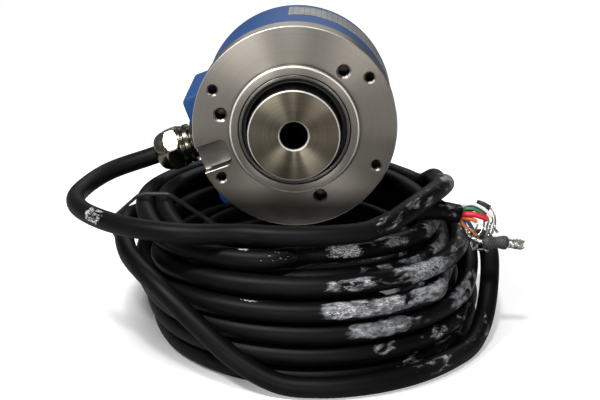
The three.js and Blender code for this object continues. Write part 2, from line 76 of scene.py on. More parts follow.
ROLL = 5                                # degrees that the encoder lies rolled over by
FLANGE_R = FLANGE_HIGH[0]
FLANGE_T = 12
COLLAR_R = 28.5
COLLAR_FRONT = FLANGE_LOW[1]
SEAL_R = 24.6
SEAL_END = 2.6
BOSS_R = 27
BOSS_END = FLANGE_HIGH[1]
BEARING_SEAT = 18.8
LARGE_HOLES = {"r": 2.5, "sink": 3.3, "depth": 10.5, "ring": 33, "pitch": 0.8, "at": (45, 165, 285)}
SMALL_HOLES = {"r": 2.1, "sink": 2.75, "depth": 9.5, "ring": 39.5, "pitch": 0.7,
               "at": (30, 150, 210, 330)}
HOLES_END = 10.9                        # just below the deepest hole's bottom
SLOT = {"half": 6, "depth": 6.5, "end": 31, "at": 195, "corner": 3}

HUB_R = SHAFT_HIGH[0]
HUB_FACE = SHAFT_LOW[1]
HUB_END = 1.5
SHAFT_R = 12.2
SHAFT_END = SHAFT_HIGH[1]
BORE_R = 6

COVER_R = COVER_HIGH[2]
COVER_FRONT = COVER_LOW[1]
COVER_END = COVER_HIGH[1]
COVER_WALL = 2.5
BLOCK = {"face": 44.6, "half": 26.5, "end": 62, "corner": 3}
POST_RING = 35
POSTS_AT = (30, 135, 270)

GLAND_Y = (GLAND_LOW[1] + GLAND_HIGH[1]) / 2
GLAND_AT = 195
GLAND_TIP = 70
GLAND_PHASE = 37                        # the nut came to rest with a flat turned this far upwards

CABLE_R = 4.2
LABEL_RULE = 2.6                        # distance between the label's ruled lines


# ---- mesh tools ------------------------------------------------------------------------
EASE_STEPS = 4                          # points on each rounded corner


def loft(rings, closed=False):
    """Skin over rings with the same count of points. An open loft gets a flat face at each end."""
    count, around = len(rings), len(rings[0])
    faces = []
    for i in range(count if closed else count - 1):
        here, there = i * around, ((i + 1) % count) * around
        for j in range(around):
            k = (j + 1) % around
            faces.append((here + j, here + k, there + k, there + j))
    if not closed:
        faces.append(tuple(range(around)))
        faces.append(tuple((count - 1) * around + j for j in range(around)))
    return np.concatenate(rings), faces


def at_depth(xs, zs, y):
    """Points of an outline that all have the same y."""
    return np.stack([xs, np.full(len(xs), float(y)), zs], 1)


def eased(points, ease, closed=False):
    """Outline with its corners rounded off. A point may carry its own ease as a third value."""
    plain = [np.array(p[:2], float) for p in points]
    out = []
    for i, p in enumerate(plain):
        own = points[i][2] if len(points[i]) > 2 else ease
        if own == 0 or (not closed and i in (0, len(plain) - 1)):
            out.append(p)
            continue
        start, end = (p + way * min(own / np.linalg.norm(way), 0.48)
                      for way in (plain[i - 1] - p, plain[(i + 1) % len(plain)] - p))
        for t in np.linspace(0, 1, EASE_STEPS):
            out.append((1 - t) ** 2 * start + 2 * t * (1 - t) * p + t * t * end)
    return out


def turned(profile, facets, closed=False, limit=None):
    """Profile of (radius, y) points turned about Y; limit gives a radius's most at each angle."""
    angles = np.linspace(0, TAU, facets, endpoint=False)
    rings = []
    for r, y in profile:
        radius = float(r) if limit is None else np.minimum(float(r), limit(angles))
        rings.append(at_depth(radius * np.cos(angles), radius * np.sin(angles), y))
    return loft(rings, closed)


def hexagon(across_flats, phase):
    """Radius of a hexagon at each angle, with one flat's middle at the phase, in degrees."""
    def limit(angles):
        from_flat = (np.degrees(angles) - phase + 30) % 60 - 30
        return across_flats / 2 / np.cos(np.radians(from_flat))
    return limit


def frames_along(path):
    """Unit side and up at each point of a path, turning as little as possible."""
    tangents = np.gradient(path, axis=0)
    tangents /= np.linalg.norm(tangents, axis=1)[:, None]
    ups = np.zeros_like(path)
    up = np.array([0.0, 0.0, 1.0])
    if abs(tangents[0] @ up) > 0.9:
        up = np.array([1.0, 0.0, 0.0])
    for i, t in enumerate(tangents):
        up = up - (up @ t) * t
        up /= np.linalg.norm(up)
        ups[i] = up
    return np.cross(tangents, ups), ups


def spokes(path, sides):
    """Unit vectors all round a path at each of its points."""
    side, up = frames_along(path)
    angles = np.linspace(0, TAU, sides, endpoint=False)
    c, s = np.cos(angles)[None, :, None], np.sin(angles)[None, :, None]
    return c * side[:, None] + s * up[:, None]


def tube(path, radius, sides):
    """Round bar along a path."""
    return loft(list(path[:, None] + spokes(path, sides) * radius))


def curve_through(points, spacing, marks=None):
    """Centripetal Catmull-Rom curve through the points, and the marks carried along with it."""
    points = [np.asarray(p, float) for p in points]
    marks = list(range(len(points))) if marks is None else marks
    ends = [2 * points[0] - points[1]] + points + [2 * points[-1] - points[-2]]
    path, carried = [], []
    for i in range(len(points) - 1):
        p0, p1, p2, p3 = ends[i:i + 4]
        gaps = ((p0, p1), (p1, p2), (p2, p3))
        d0, d1, d2 = (max(math.sqrt(np.linalg.norm(b - a)), 1e-4) for a, b in gaps)
        m1 = ((p1 - p0) / d0 - (p2 - p0) / (d0 + d1) + (p2 - p1) / d1) * d1
        m2 = ((p2 - p1) / d1 - (p3 - p1) / (d1 + d2) + (p3 - p2) / d2) * d1
        steps = max(int(np.linalg.norm(p2 - p1) / spacing), 1)
        for t in np.arange(steps) / steps:
            path.append((2 * t**3 - 3 * t**2 + 1) * p1 + (t**3 - 2 * t**2 + t) * m1
                        + (3 * t**2 - 2 * t**3) * p2 + (t**3 - t**2) * m2)
            carried.append(marks[i] + (marks[i + 1] - marks[i]) * t)
    return np.array(path + [points[-1]]), np.array(carried + [marks[-1]])


def extruded(outline_at, levels):
    """Outline in the XZ plane stacked along Y. levels holds (y, offset) pairs and outline_at gives
    the outline for an offset outwards."""
    return loft([at_depth(*np.array(outline_at(offset)).T, y) for y, offset in levels])


def arc(centre, radius, start, end, steps=8):
    angles = np.radians(np.linspace(start, end, steps))
    return [(centre[0] + radius * math.cos(a), centre[1] + radius * math.sin(a)) for a in angles]


def eased_levels(y0, y1, ease):
    """Levels of a bar whose two ends are rounded by the ease."""
    turn = np.linspace(0, math.pi / 2, EASE_STEPS)
    front = [(y0 + ease * (1 - math.sin(a)), -ease * (1 - math.cos(a))) for a in turn[::-1]]
    rear = [(y1 - ease * (1 - math.sin(a)), -ease * (1 - math.cos(a))) for a in turn]
    return front + rear


def outwards(degrees):
    """Unit vector away from the encoder's axis; 0 is +X and 90 is +Z, before the roll."""
    a = rad(degrees + ROLL)
    return np.array([math.cos(a), 0, math.sin(a)])


def about_axis(part, degrees):
    """Turns a part about the encoder's axis."""
    points, faces = part
    c, _, s = outwards(degrees)
    x, y, z = points.T
    return np.stack([x * c - z * s, y, x * s + z * c], 1), faces


def beside(part, ring, degrees):
    """Moves a part turned about Y out to a parallel axis."""
    points, faces = part
    return points + ring * outwards(degrees), faces


def radially(part):
    """Lays a part turned about Y along the gland's axis; its y becomes the distance outwards."""
    points, faces = part
    out = outwards(GLAND_AT)
    front = np.array([0, -1, 0])
    up = np.cross(front, out)
    up = up if up[2] > 0 else -up
    x, y, z = points.T
    centre = np.array([0, GLAND_Y, 0])
    return centre + y[:, None] * out + x[:, None] * front + z[:, None] * up, faces


def mesh_object(name, parts):
    """One Blender object out of (points, faces) parts; each part's faces get that part's material."""
    points, faces, kinds, base = [], [], [], 0
    for kind, (part_points, part_faces) in parts:
        points.append(part_points)
        faces += [tuple(base + i for i in face) for face in part_faces]
        kinds += [kind] * len(part_faces)
        base += len(part_points)
    mesh = bpy.data.meshes.new(name)
    mesh.from_pydata(((np.concatenate(points) - TO_ORIGIN) * MM).tolist(), [], faces)
    mesh.polygons.foreach_set("material_index", kinds)
    work = bmesh.new()
    work.from_mesh(mesh)
    bmesh.ops.recalc_face_normals(work, faces=work.faces)
    work.to_mesh(mesh)
    work.free()
    obj = bpy.data.objects.new(name, mesh)
    bpy.context.scene.collection.objects.link(obj)
    return obj


def carve(obj, parts, operation="DIFFERENCE"):
    """Cuts parts out of an object, or joins them to it."""
    tool = mesh_object("tool", [(0, part) for part in parts])
    cut = obj.modifiers.new("carve", "BOOLEAN")
    cut.operation = operation
    cut.solver = "EXACT"
    cut.object = tool
    done = obj.evaluated_get(bpy.context.evaluated_depsgraph_get())
    shaped = bpy.data.meshes.new_from_object(done)
    obj.modifiers.clear()
    old = obj.data
    obj.data = shaped
    shaped.name = old.name
    bpy.data.meshes.remove(old)
    bpy.data.objects.remove(tool)


def finish_piece(obj, node, materials, sharp, body="housing"):
    """Smooth shading, materials, and the CAD body and node that the piece goes with."""
    kinds = [face.material_index for face in obj.data.polygons]
    obj.data.materials.clear()
    for material in materials:
        obj.data.materials.append(material)
    obj.data.polygons.foreach_set("material_index", kinds)
    obj.data.shade_smooth()
    obj.data.set_sharp_from_angle(angle=rad(sharp))
    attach(obj, body)
    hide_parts(node)


def piece(node, parts, materials, sharp, name=None):
    """Piece that takes the place of a CAD node of the housing."""
    finish_piece(mesh_object(name or f"{node}_fine", parts), node, materials, sharp)


# ---- material tools --------------------------------------------------------------------
class Paint:
    """A material with a Principled surface and short calls for the nodes behind it."""

    def __init__(self, name, color, roughness, metallic=0.0, **more):
        self.material = bpy.data.materials.new(name)
        self.material.use_nodes = True
        self.tree = self.material.node_tree
        self.tree.nodes.clear()
        self.surface = self.node("ShaderNodeBsdfPrincipled")
        output = self.node("ShaderNodeOutputMaterial")
        self.tree.links.new(self.surface.outputs[0], output.inputs["Surface"])
        self.put("Base Color", color)
        self.put("Roughness", roughness)
        self.put("Metallic", metallic)
        for key, value in more.items():
            self.put(key.replace("_", " "), value)

    def node(self, kind, values=None, **settings):
        made = self.tree.nodes.new(kind)
        for key, value in settings.items():
            setattr(made, key, value)
        for key, value in (values or {}).items():
            self.connect(made.inputs[key], value)
        return made

    def connect(self, socket, value):
        if isinstance(value, bpy.types.NodeSocket):
            self.tree.links.new(value, socket)
        elif isinstance(value, tuple) and len(value) == 3 and socket.type == "RGBA":
            socket.default_value = (*value, 1)
        else:
            socket.default_value = value

    def put(self, key, value):
        self.connect(self.surface.inputs[key], value)

    def position(self):
        return self.node("ShaderNodeNewGeometry").outputs["Position"]

    def place(self):
        return self.node("ShaderNodeTexCoord").outputs["Object"]

    def attribute(self, name, output="Fac"):
        return self.node("ShaderNodeAttribute", attribute_name=name).outputs[output]

    def noise(self, scale, detail=3.0, vector=None, roughness=0.5, distortion=0.0):
        values = {"Scale": scale, "Detail": detail, "Roughness": roughness, "Distortion": distortion}
        values["Vector"] = self.place() if vector is None else vector
        return self.node("ShaderNodeTexNoise", values).outputs["Fac"]

    def math(self, operation, a, b=0.0, clamp=False):
        values = {0: a, 1: b}
        return self.node("ShaderNodeMath", values, operation=operation, use_clamp=clamp).outputs[0]

    def times(self, a, b):
        return self.math("MULTIPLY", a, b)

    def split(self, vector):
        return self.node("ShaderNodeSeparateXYZ", {0: vector}).outputs

    def step(self, value, low, high):
        """0 under low, 1 over high, and smooth in between."""
        node = self.node("ShaderNodeMapRange", {"Value": value, "From Min": low, "From Max": high},
                         interpolation_type="SMOOTHSTEP")
        return node.outputs["Result"]

    def between(self, value, low, high):
        """The value's 0 to 1 moved to low to high."""
        values = {"Value": value, "To Min": low, "To Max": high}
        return self.node("ShaderNodeMapRange", values).outputs["Result"]

    def vector(self, operation, values, output=0):
        return self.node("ShaderNodeVectorMath", values, operation=operation).outputs[output]

    def from_axis(self, x, other, axis):
        """Length of the vector made of x and the other axis (1 is Y, 2 is Z), and the vector."""
        flat = self.node("ShaderNodeCombineXYZ", {0: x, axis: other}).outputs[0]
        return self.vector("LENGTH", {0: flat}, "Value"), flat

    def coat(self, tone, mottle, smooth, matt):
        """The colour, and a roughness that the mottle moves from smooth to matt."""
        self.put("Base Color", tone)
        self.put("Roughness", self.between(mottle, smooth, matt))

    def mix(self, share, a, b):
        return self.node("ShaderNodeMix", {"Factor": share, 6: a, 7: b}, data_type="RGBA").outputs[2]

    def stretched(self, factors):
        """The place in the piece with each of its axes scaled."""
        return self.vector("MULTIPLY", {0: self.place(), 1: factors})

    def bump(self, height, strength, distance, below=None):
        values = {"Height": height, "Strength": strength, "Distance": distance * MM}
        if below is not None:
            values["Normal"] = below
        made = self.node("ShaderNodeBump", values).outputs[0]
        self.put("Normal", made)
        return made

    def edges(self, radius, low=0.02, high=0.25):
        """1 along the piece's edges and 0 on its faces."""
        soft = self.node("ShaderNodeBevel", {"Radius": radius * MM}, samples=4).outputs[0]
        plain = self.node("ShaderNodeNewGeometry").outputs["Normal"]
        away = self.vector("DOT_PRODUCT", {0: soft, 1: plain}, "Value")
        return self.step(self.math("SUBTRACT", 1.0, away), low, high)


def scaled(color, factor, lift=0.0):
    return tuple(min(1.0, c * factor + lift) for c in color)


def turned_metal(name, color, roughness, drawn=0.8):
    """Steel off the lathe: fine rings about the encoder's axis draw each light out into a ray."""
    paint = Paint(name, color, roughness, 1.0, Anisotropic=drawn)
    x, depth, z = paint.split(paint.position())
    radius, flat = paint.from_axis(x, z, 2)
    track = paint.node("ShaderNodeCombineXYZ", {0: radius, 1: depth}).outputs[0]
    fine = paint.noise(2600, 2.0, track)
    wide = paint.noise(1500, 3.0, track, roughness=0.7)
    stain = paint.noise(38, 5.0, roughness=0.6)
    cloud = paint.noise(14, 2.0)
    groove = paint.vector("CROSS_PRODUCT", {0: flat, 1: (0.0, 1.0, 0.0)})
    normal = paint.node("ShaderNodeNewGeometry").outputs["Normal"]
    across = paint.vector("CROSS_PRODUCT", {0: normal, 1: groove})
    paint.put("Tangent", paint.vector("NORMALIZE", {0: across}))
    tone = paint.mix(paint.step(wide, 0.3, 0.7), scaled(color, 0.82), color)
    brown = tuple(c * f for c, f in zip(color, (0.86, 0.76, 0.64)))
    tone = paint.mix(paint.times(paint.step(cloud, 0.45, 0.75), 0.15), tone, brown)
    specks = paint.step(paint.noise(700, 2.0), 0.72, 0.8)
    tone = paint.mix(paint.times(specks, 0.35), tone, (0.12, 0.10, 0.08))
    # Painted highlight: near-white along the edges.
    edge = paint.edges(0.35)
    tone = paint.mix(paint.times(edge, 0.75), tone, (0.85, 0.83, 0.79))
    paint.put("Base Color", tone)
    spread = paint.math("ADD", paint.between(wide, -0.03, 0.04), paint.between(stain, -0.05, 0.05))
    paint.put("Roughness", paint.math("ADD", spread, roughness, True))
    lower = paint.bump(fine, 0.12, 0.02)
    paint.bump(wide, 0.10, 0.05, lower)
    return paint.material


def milled_metal(name, color, roughness, along):
    """Steel off the milling machine, with straight cutter marks across the direction along."""
    paint = Paint(name, color, roughness, 1.0)
    direction = (math.cos(rad(along)), 0.0, math.sin(rad(along)))
    run = paint.vector("DOT_PRODUCT", {0: paint.position(), 1: direction}, "Value")
    marks = paint.noise(900, 3.0, paint.node("ShaderNodeCombineXYZ", {0: run}).outputs[0])
    cloud = paint.noise(90, 3.0)
    tone = paint.mix(paint.step(cloud, 0.3, 0.7), scaled(color, 0.6), color)
    paint.coat(tone, cloud, roughness - 0.1, roughness + 0.12)
    paint.bump(marks, 0.5, 0.06)
    return paint.material


def plain_metal(name, color, roughness, stain=0.25):
    """Small metal parts: slight stains, a fine grain and a painted highlight along the edges."""
    paint = Paint(name, color, roughness, 1.0)
    cloud = paint.noise(90, 4.0, roughness=0.6)
    fine = paint.noise(2400, 2.0)
    tone = paint.mix(paint.step(cloud, 0.35, 0.7), scaled(color, 1 - stain), color)
    # Painted highlight: brighter along the edges.
    shine = paint.times(paint.edges(0.25), 0.6)
    tone = paint.mix(shine, tone, scaled(color, 1.35, 0.05))
    paint.coat(tone, cloud, roughness - 0.06, roughness + 0.1)
    paint.bump(fine, 0.15, 0.02)
    return paint.material


def moulded(name, color, roughness, grain=1500):
    """Plastic or rubber with a fine moulded grain, faint dust and slightly lighter edges."""
    paint = Paint(name, color, roughness)
    fine = paint.noise(grain, 3.0)
    cloud = paint.noise(60, 4.0, roughness=0.6)
    dusty = paint.times(paint.step(cloud, 0.5, 0.8), 0.5)
    tone = paint.mix(dusty, color, scaled(color, 0.8, 0.05))
    worn = paint.times(paint.edges(0.25), 0.5)
    tone = paint.mix(worn, tone, scaled(color, 1.2, 0.04))
    paint.coat(tone, cloud, roughness - 0.06, roughness + 0.08)
    paint.bump(fine, 0.25, 0.05)
    return paint.material


def blue_enamel():
    """Sprayed enamel: a slight orange peel, paler edges that are partly rubbed paint and partly a painted
    highlight, and a few hairline scratches.
    """
    deep, pale = (0.006, 0.058, 0.205), (0.10, 0.16, 0.30)
    paint = Paint("blue_enamel", deep, 0.42, 0.0, Specular_IOR_Level=0.3, Coat_Weight=0.04,
                  Coat_Roughness=0.35)
    peel = paint.noise(900, 2.0)
    cloud = paint.noise(30, 4.0, roughness=0.6)
    hair = paint.noise(60, 2.0, paint.stretched((40, 2, 40)), distortion=0.3)
    tone = paint.mix(paint.step(cloud, 0.3, 0.75), deep, (0.010, 0.066, 0.225))
    scratch = paint.times(paint.step(hair, 0.74, 0.78), 0.3)
    tone = paint.mix(scratch, tone, pale)
    # Paler edges: rubbed paint, and a painted highlight along the rounded edges.
    rubbed = paint.times(paint.edges(0.5, 0.03, 0.3), paint.between(cloud, 0.5, 1.0))
    paint.coat(paint.mix(rubbed, tone, pale), cloud, 0.36, 0.5)
    paint.bump(peel, 0.12, 0.05)
    return paint.material


def label_foil():
    """Aluminium foil label without print: brushed and rubbed, with faint ruled lines."""
    paint = Paint("label_foil", (0.30, 0.30, 0.28), 0.42, 0.4)
    x, y, z = paint.split(paint.place())
    brushed = paint.noise(260, 3.0, paint.stretched((1, 14, 1)))
    cloud = paint.noise(110, 3.0, roughness=0.65)
    tone = paint.mix(paint.step(cloud, 0.35, 0.65), (0.19, 0.20, 0.20), (0.30, 0.31, 0.31))
    tone = paint.mix(paint.between(brushed, 0.0, 0.35), tone, (0.36, 0.37, 0.37))
    angle = paint.times(paint.math("ARCTAN2", z, x), COVER_R / LABEL_RULE * TAU)
    rules = paint.step(paint.math("SINE", angle), 0.80, 0.95)
    across = paint.times(y, TAU / (LABEL_RULE * MM))
    columns = paint.times(paint.step(paint.math("SINE", across), 0.86, 0.97), 0.4)
    ruled = paint.times(paint.math("MAXIMUM", rules, columns), 0.5)
    paint.coat(paint.mix(ruled, tone, (0.05, 0.055, 0.07)), cloud, 0.35, 0.55)
    paint.bump(brushed, 0.15, 0.03)
    return paint.material


def cable_rubber():
    """Satin black jacket. The vertex values scuff_and_highlight, wear and speck say where it is rubbed to
    grey, and where a thin highlight is painted.
    """
    black = (0.0014, 0.0014, 0.0016)
    paint = Paint("cable_rubber", black, 0.4, 0.0, Specular_IOR_Level=0.13)
    run = paint.attribute("course", "Vector")
    cloud = paint.noise(0.05, 4.0, run, roughness=0.6)
    grain = paint.noise(2.2, 3.0, run)
    rough = paint.noise(0.55, 6.0, run, roughness=0.72)
    blot = paint.noise(0.22, 4.0, run, roughness=0.6, distortion=0.6)
    tone = paint.mix(paint.step(cloud, 0.45, 0.75), black, (0.007, 0.007, 0.0073))
    wear = paint.math("ADD", paint.times(blot, 0.9), paint.attribute("wear"))
    worn = paint.step(wear, 0.93, 1.06)
    grey = paint.mix(paint.step(rough, 0.35, 0.68), (0.055, 0.058, 0.066), (0.36, 0.365, 0.38))
    tone = paint.mix(worn, tone, grey)
    speck = paint.step(paint.math("ADD", grain, paint.attribute("speck")), 1.0, 1.08)
    tone = paint.mix(paint.times(speck, 0.8), tone, (0.5, 0.5, 0.51))
    # Pale torn scuffs, and a few thin painted highlights along the tops of strands.
    scuff_and_highlight = paint.math("ADD", rough, paint.attribute("scuff_and_highlight"))
    torn_and_highlit = paint.step(scuff_and_highlight, 1.0, 1.16)
    pale = paint.mix(paint.step(grain, 0.42, 0.62), (0.16, 0.16, 0.17), (0.70, 0.70, 0.70))
    tone = paint.mix(torn_and_highlit, tone, pale)
    paint.put("Base Color", tone)
    matt = paint.math("MAXIMUM", torn_and_highlit, worn)
    satin = paint.between(cloud, 0.42, 0.56)
    paint.put("Roughness", paint.math("ADD", satin, paint.times(matt, 0.3), True))
    lower = paint.bump(grain, 0.10, 0.05)
    paint.bump(paint.math("ADD", paint.times(rough, matt), torn_and_highlit), 0.5, 0.25, lower)
    return paint.material


def insulation(name, color):
    """Thin glossy wire insulation with faint handling marks."""
    paint = Paint(f"insulation_{name}", color, 0.38)
    cloud = paint.noise(240, 3.0)
    tone = paint.mix(paint.step(cloud, 0.5, 0.8), color, scaled(color, 0.62, 0.01))
    paint.coat(tone, cloud, 0.3, 0.46)
    paint.bump(paint.noise(1800, 2.0), 0.15, 0.03)
    return paint.material


def woven_sleeve():
    """Black sleeve with the fine diagonal weave showing through it."""
    paint = Paint("woven_sleeve", (0.02, 0.02, 0.021), 0.5)
    threads = []
    for place in (paint.place(), paint.stretched((1, 1, -1))):
        values = {"Scale": 420.0, "Vector": place, "Distortion": 0.4}
        made = paint.node("ShaderNodeTexWave", values, bands_direction="DIAGONAL")
        threads.append(made.outputs["Fac"])
    weave = paint.times(*threads)
    paint.put("Base Color", paint.mix(weave, (0.014, 0.014, 0.015), (0.075, 0.072, 0.066)))
    paint.bump(weave, 0.6, 0.15)
    return paint.material


def circuit_green():
    """Solder mask with copper tracks showing through as paler lines."""
    paint = Paint("circuit_green", (0.01, 0.11, 0.04), 0.35, 0.0, Coat_Weight=0.3)
    tracks = paint.node("ShaderNodeTexVoronoi", {"Vector": paint.place(), "Scale": 260.0},
                        feature="DISTANCE_TO_EDGE").outputs["Distance"]
    line = paint.step(tracks, 0.10, 0.04)
    paint.put("Base Color", paint.mix(line, (0.008, 0.09, 0.035), (0.03, 0.2, 0.07)))
    paint.bump(line, 0.2, 0.05)
    return paint.material


def coded_glass():
    """Code disc glass with a dark ring of fine radial marks near its edge."""
    paint = Paint("coded_glass", (0.45, 0.55, 0.54), 0.08, 0.3)
    x, _, z = paint.split(paint.place())
    angle = paint.math("ARCTAN2", z, x)
    marks = paint.step(paint.math("SINE", paint.times(angle, 512.0)), -0.2, 0.2)
    radius, _ = paint.from_axis(x, z, 2)
    inner, outer = paint.step(radius, 0.0235, 0.0237), paint.step(radius, 0.0275, 0.0273)
    coded = paint.times(marks, paint.times(inner, outer))
    paint.coat(paint.mix(coded, (0.5, 0.6, 0.58), (0.03, 0.03, 0.03)), paint.noise(80), 0.05, 0.16)
    return paint.material


MACHINED = turned_metal("machined_steel", (0.305, 0.282, 0.247), 0.41, 0.84)
HUB_STEEL = turned_metal("hub_steel", (0.178, 0.156, 0.118), 0.36, 0.96)
# Painted highlight: near-white steel for the chamfers, where the edges catch the light.
EDGE_HIGHLIGHT = plain_metal("painted_edge_highlight", (0.80, 0.78, 0.73), 0.45, 0.15)
# Painted shade: dark steel for the hub's side, the shaft, the bore and the faces inside the seal's seat.
PAINTED_SHADE_STEEL = plain_metal("painted_shade_steel", (0.075, 0.069, 0.06), 0.27)
TAPPED = plain_metal("tapped_steel", (0.13, 0.12, 0.11), 0.35)
MILLED = milled_metal("milled_steel", (0.26, 0.245, 0.22), 0.36, 110)
SEAL_STEEL = turned_metal("seal_steel", (0.17, 0.16, 0.15), 0.36)
BEARING = plain_metal("bearing_steel", (0.55, 0.55, 0.55), 0.18)
DARK_STEEL = plain_metal("dark_steel", (0.10, 0.10, 0.10), 0.35)
SCREW_STEEL = plain_metal("screw_steel", (0.42, 0.42, 0.42), 0.28)
BRASS = plain_metal("brass", (0.55, 0.40, 0.18), 0.28)
NICKEL = plain_metal("nickel", (0.34, 0.325, 0.25), 0.20, 0.5)
TINNED = plain_metal("tinned_copper", (0.66, 0.64, 0.60), 0.22, 0.35)
RUBBER = moulded("seal_rubber", (0.012, 0.012, 0.013), 0.55)
PLASTIC = moulded("black_plastic", (0.018, 0.018, 0.02), 0.5)
CREAM = moulded("cream_plastic", (0.62, 0.57, 0.45), 0.45)
NYLON = moulded("tie_nylon", (0.012, 0.012, 0.013), 0.38, 800)
ENAMEL = blue_enamel()
FOIL = label_foil()
JACKET = cable_rubber()
WEAVE = woven_sleeve()
BOARD = circuit_green()
GLASS = coded_glass()


# ---- the encoder's front ---------------------------------------------------------------
def tapped_hole(hole):
    """Cutter of a tapped hole: a countersink, then a thread of its pitch down to the bottom."""
    r, sink, depth, pitch = hole["r"], hole["sink"], hole["depth"], hole["pitch"]
    crest = 0.14 * pitch
    facets = 40
    angles = np.linspace(0, TAU, facets, endpoint=False)
    start = sink - r + 0.1
    levels = [(-1.0, sink + 1.0, 0), (0.0, sink, 0), (sink - r, r, 0)]
    count = int((depth - 1.2 - start) / pitch * 6)
    levels += [(start + i * pitch / 6, r - crest, 1) for i in range(count)]
    levels += [(depth - 1.0, r - 2 * crest, 0), (depth, 0.3, 0)]
    rings = []
    for y, radius, threaded in levels:
        wave = np.abs((y / pitch - angles / TAU) % 1 - 0.5) * 4 - 1
        radii = radius + threaded * crest * wave
        rings.append(at_depth(radii * np.cos(angles), radii * np.sin(angles), y))
    return beside(loft(rings), hole["ring"], hole["at_now"])


def slot_cutter():
    """Open-ended slot with round inner corners, a round root and a broken upper edge."""
    beyond = FLANGE_R + 6

    def outline(offset):
        half, end, corner = SLOT["half"] + offset, SLOT["end"] - offset, SLOT["corner"] + offset
        inner = arc((end + corner, half - corner), corner, 90, 180)
        inner += arc((end + corner, corner - half), corner, 180, 270)
        return [(beyond, -half), (beyond, half)] + inner

    round_root = 0.8
    levels = [(-1.0, 1.3), (0.0, 0.3), (0.3, 0.0)]
    for a in np.radians((0, 30, 60, 90)):
        inset = round_root * (1 - math.cos(a))
        levels.append((SLOT["depth"] - round_root * (1 - math.sin(a)), -inset))
    return about_axis(extruded(outline, levels), SLOT["at"])


def make_flange():
    profile = eased([
        (SEAL_R, COLLAR_FRONT, 0.35), (COLLAR_R, COLLAR_FRONT, 0.9), (COLLAR_R, -0.45, 0.1),
        (COLLAR_R - 0.35, -0.35, 0.1), (COLLAR_R - 0.35, 0.25, 0.15), (COLLAR_R + 0.25, 0.0, 0.1),
        (FLANGE_R, 0, 0.7), (FLANGE_R, FLANGE_T, 0.5), (BOSS_R, FLANGE_T, 0.5),
        (BOSS_R, BOSS_END, 0.5), (BEARING_SEAT, BOSS_END, 0.3), (BEARING_SEAT, SEAL_END, 0.2),
        (SEAL_R, SEAL_END, 0.3),
    ], 0.3, closed=True)
    obj = mesh_object("flange_fine", [(0, turned(profile, 256, closed=True))])
    holes = [{**kind, "at_now": at} for kind in (LARGE_HOLES, SMALL_HOLES) for at in kind["at"]]
    carve(obj, [tapped_hole(hole) for hole in holes] + [slot_cutter()])
    mark_flange_faces(obj, holes)
    finish_piece(obj, "flange", [MACHINED, TAPPED, MILLED, EDGE_HIGHLIGHT, PAINTED_SHADE_STEEL], 30)


def mark_flange_faces(obj, holes):
    """Gives the holes and the slot their own materials, a painted highlight to the rim's and the collar's
    chamfers, and painted shade to the faces inside the seal's seat.
    """
    plain, threaded, milled, edge, painted_shade = range(5)
    u, v = Vector(outwards(SLOT["at"])), Vector(outwards(SLOT["at"] + 90))
    seats = [(Vector(outwards(hole["at_now"]) * hole["ring"]), hole["r"] + 0.12) for hole in holes]
    for face in obj.data.polygons:
        c = face.center / MM + Vector(TO_ORIGIN)
        flat = Vector((c.x, 0, c.z))
        reach = flat.length
        face.material_index = plain
        # Painted highlight on the collar's front chamfer.
        if c.y < COLLAR_FRONT + 0.9 and reach > COLLAR_R - 0.8:
            face.material_index = edge
        # Painted shade on the faces inside the seal's seat.
        elif reach < SEAL_R + 0.05 and c.y > COLLAR_FRONT + 0.35:
            face.material_index = painted_shade
        if not 0.05 < c.y < HOLES_END or reach < COLLAR_R:
            continue
        in_slot = flat.dot(u) > SLOT["end"] - 0.4 and abs(flat.dot(v)) < SLOT["half"] + 0.35
        # Painted highlight on the rim's front chamfer.
        if reach > FLANGE_R - 0.7 and c.y < 0.7:
            face.material_index = edge
        elif any((flat - seat).length < r for seat, r in seats):
            face.material_index = threaded
        elif in_slot and c.y < SLOT["depth"] + 0.1 and reach < FLANGE_R - 0.1:
            face.material_index = milled


def make_shaft():
    profile = eased([
        (BORE_R, HUB_FACE, 0.75), (HUB_R, HUB_FACE, 0.6), (HUB_R, HUB_END, 0.3),
        (SHAFT_R, HUB_END, 0.2), (SHAFT_R, SHAFT_END, 0.5), (0.2, SHAFT_END, 0),
    ], 0.3)
    inside = eased([(0.2, BORE_END, 0), (BORE_R, BORE_END, 0.4), (BORE_R, HUB_FACE, 0)], 0.2)
    mouth = [(BORE_R, HUB_FACE + 0.75), (BORE_R + 0.2, HUB_FACE + 0.3), (BORE_R + 0.75, HUB_FACE)]
    outline = inside[:-1] + mouth + profile[1:]
    obj = mesh_object("shaft_fine", [(0, turned(outline, 256))])
    # Painted highlight on the bore's mouth and the hub's front edge; painted shade on the hub's side, the
    # shaft and the bore.
    edge, painted_shade = 1, 2
    for face in obj.data.polygons:
        reach, y = math.hypot(face.center.x, face.center.z) / MM, face.center.y / MM + BORE_END
        lip = min(abs(reach - BORE_R), abs(reach - HUB_R)) < 0.72
        if lip and HUB_FACE + 0.01 <= y < HUB_FACE + 0.74:
            face.material_index = edge
        elif y > HUB_FACE + 0.5:
            face.material_index = painted_shade
    finish_piece(obj, "shaft", [HUB_STEEL, EDGE_HIGHLIGHT, PAINTED_SHADE_STEEL], 30, "hub")


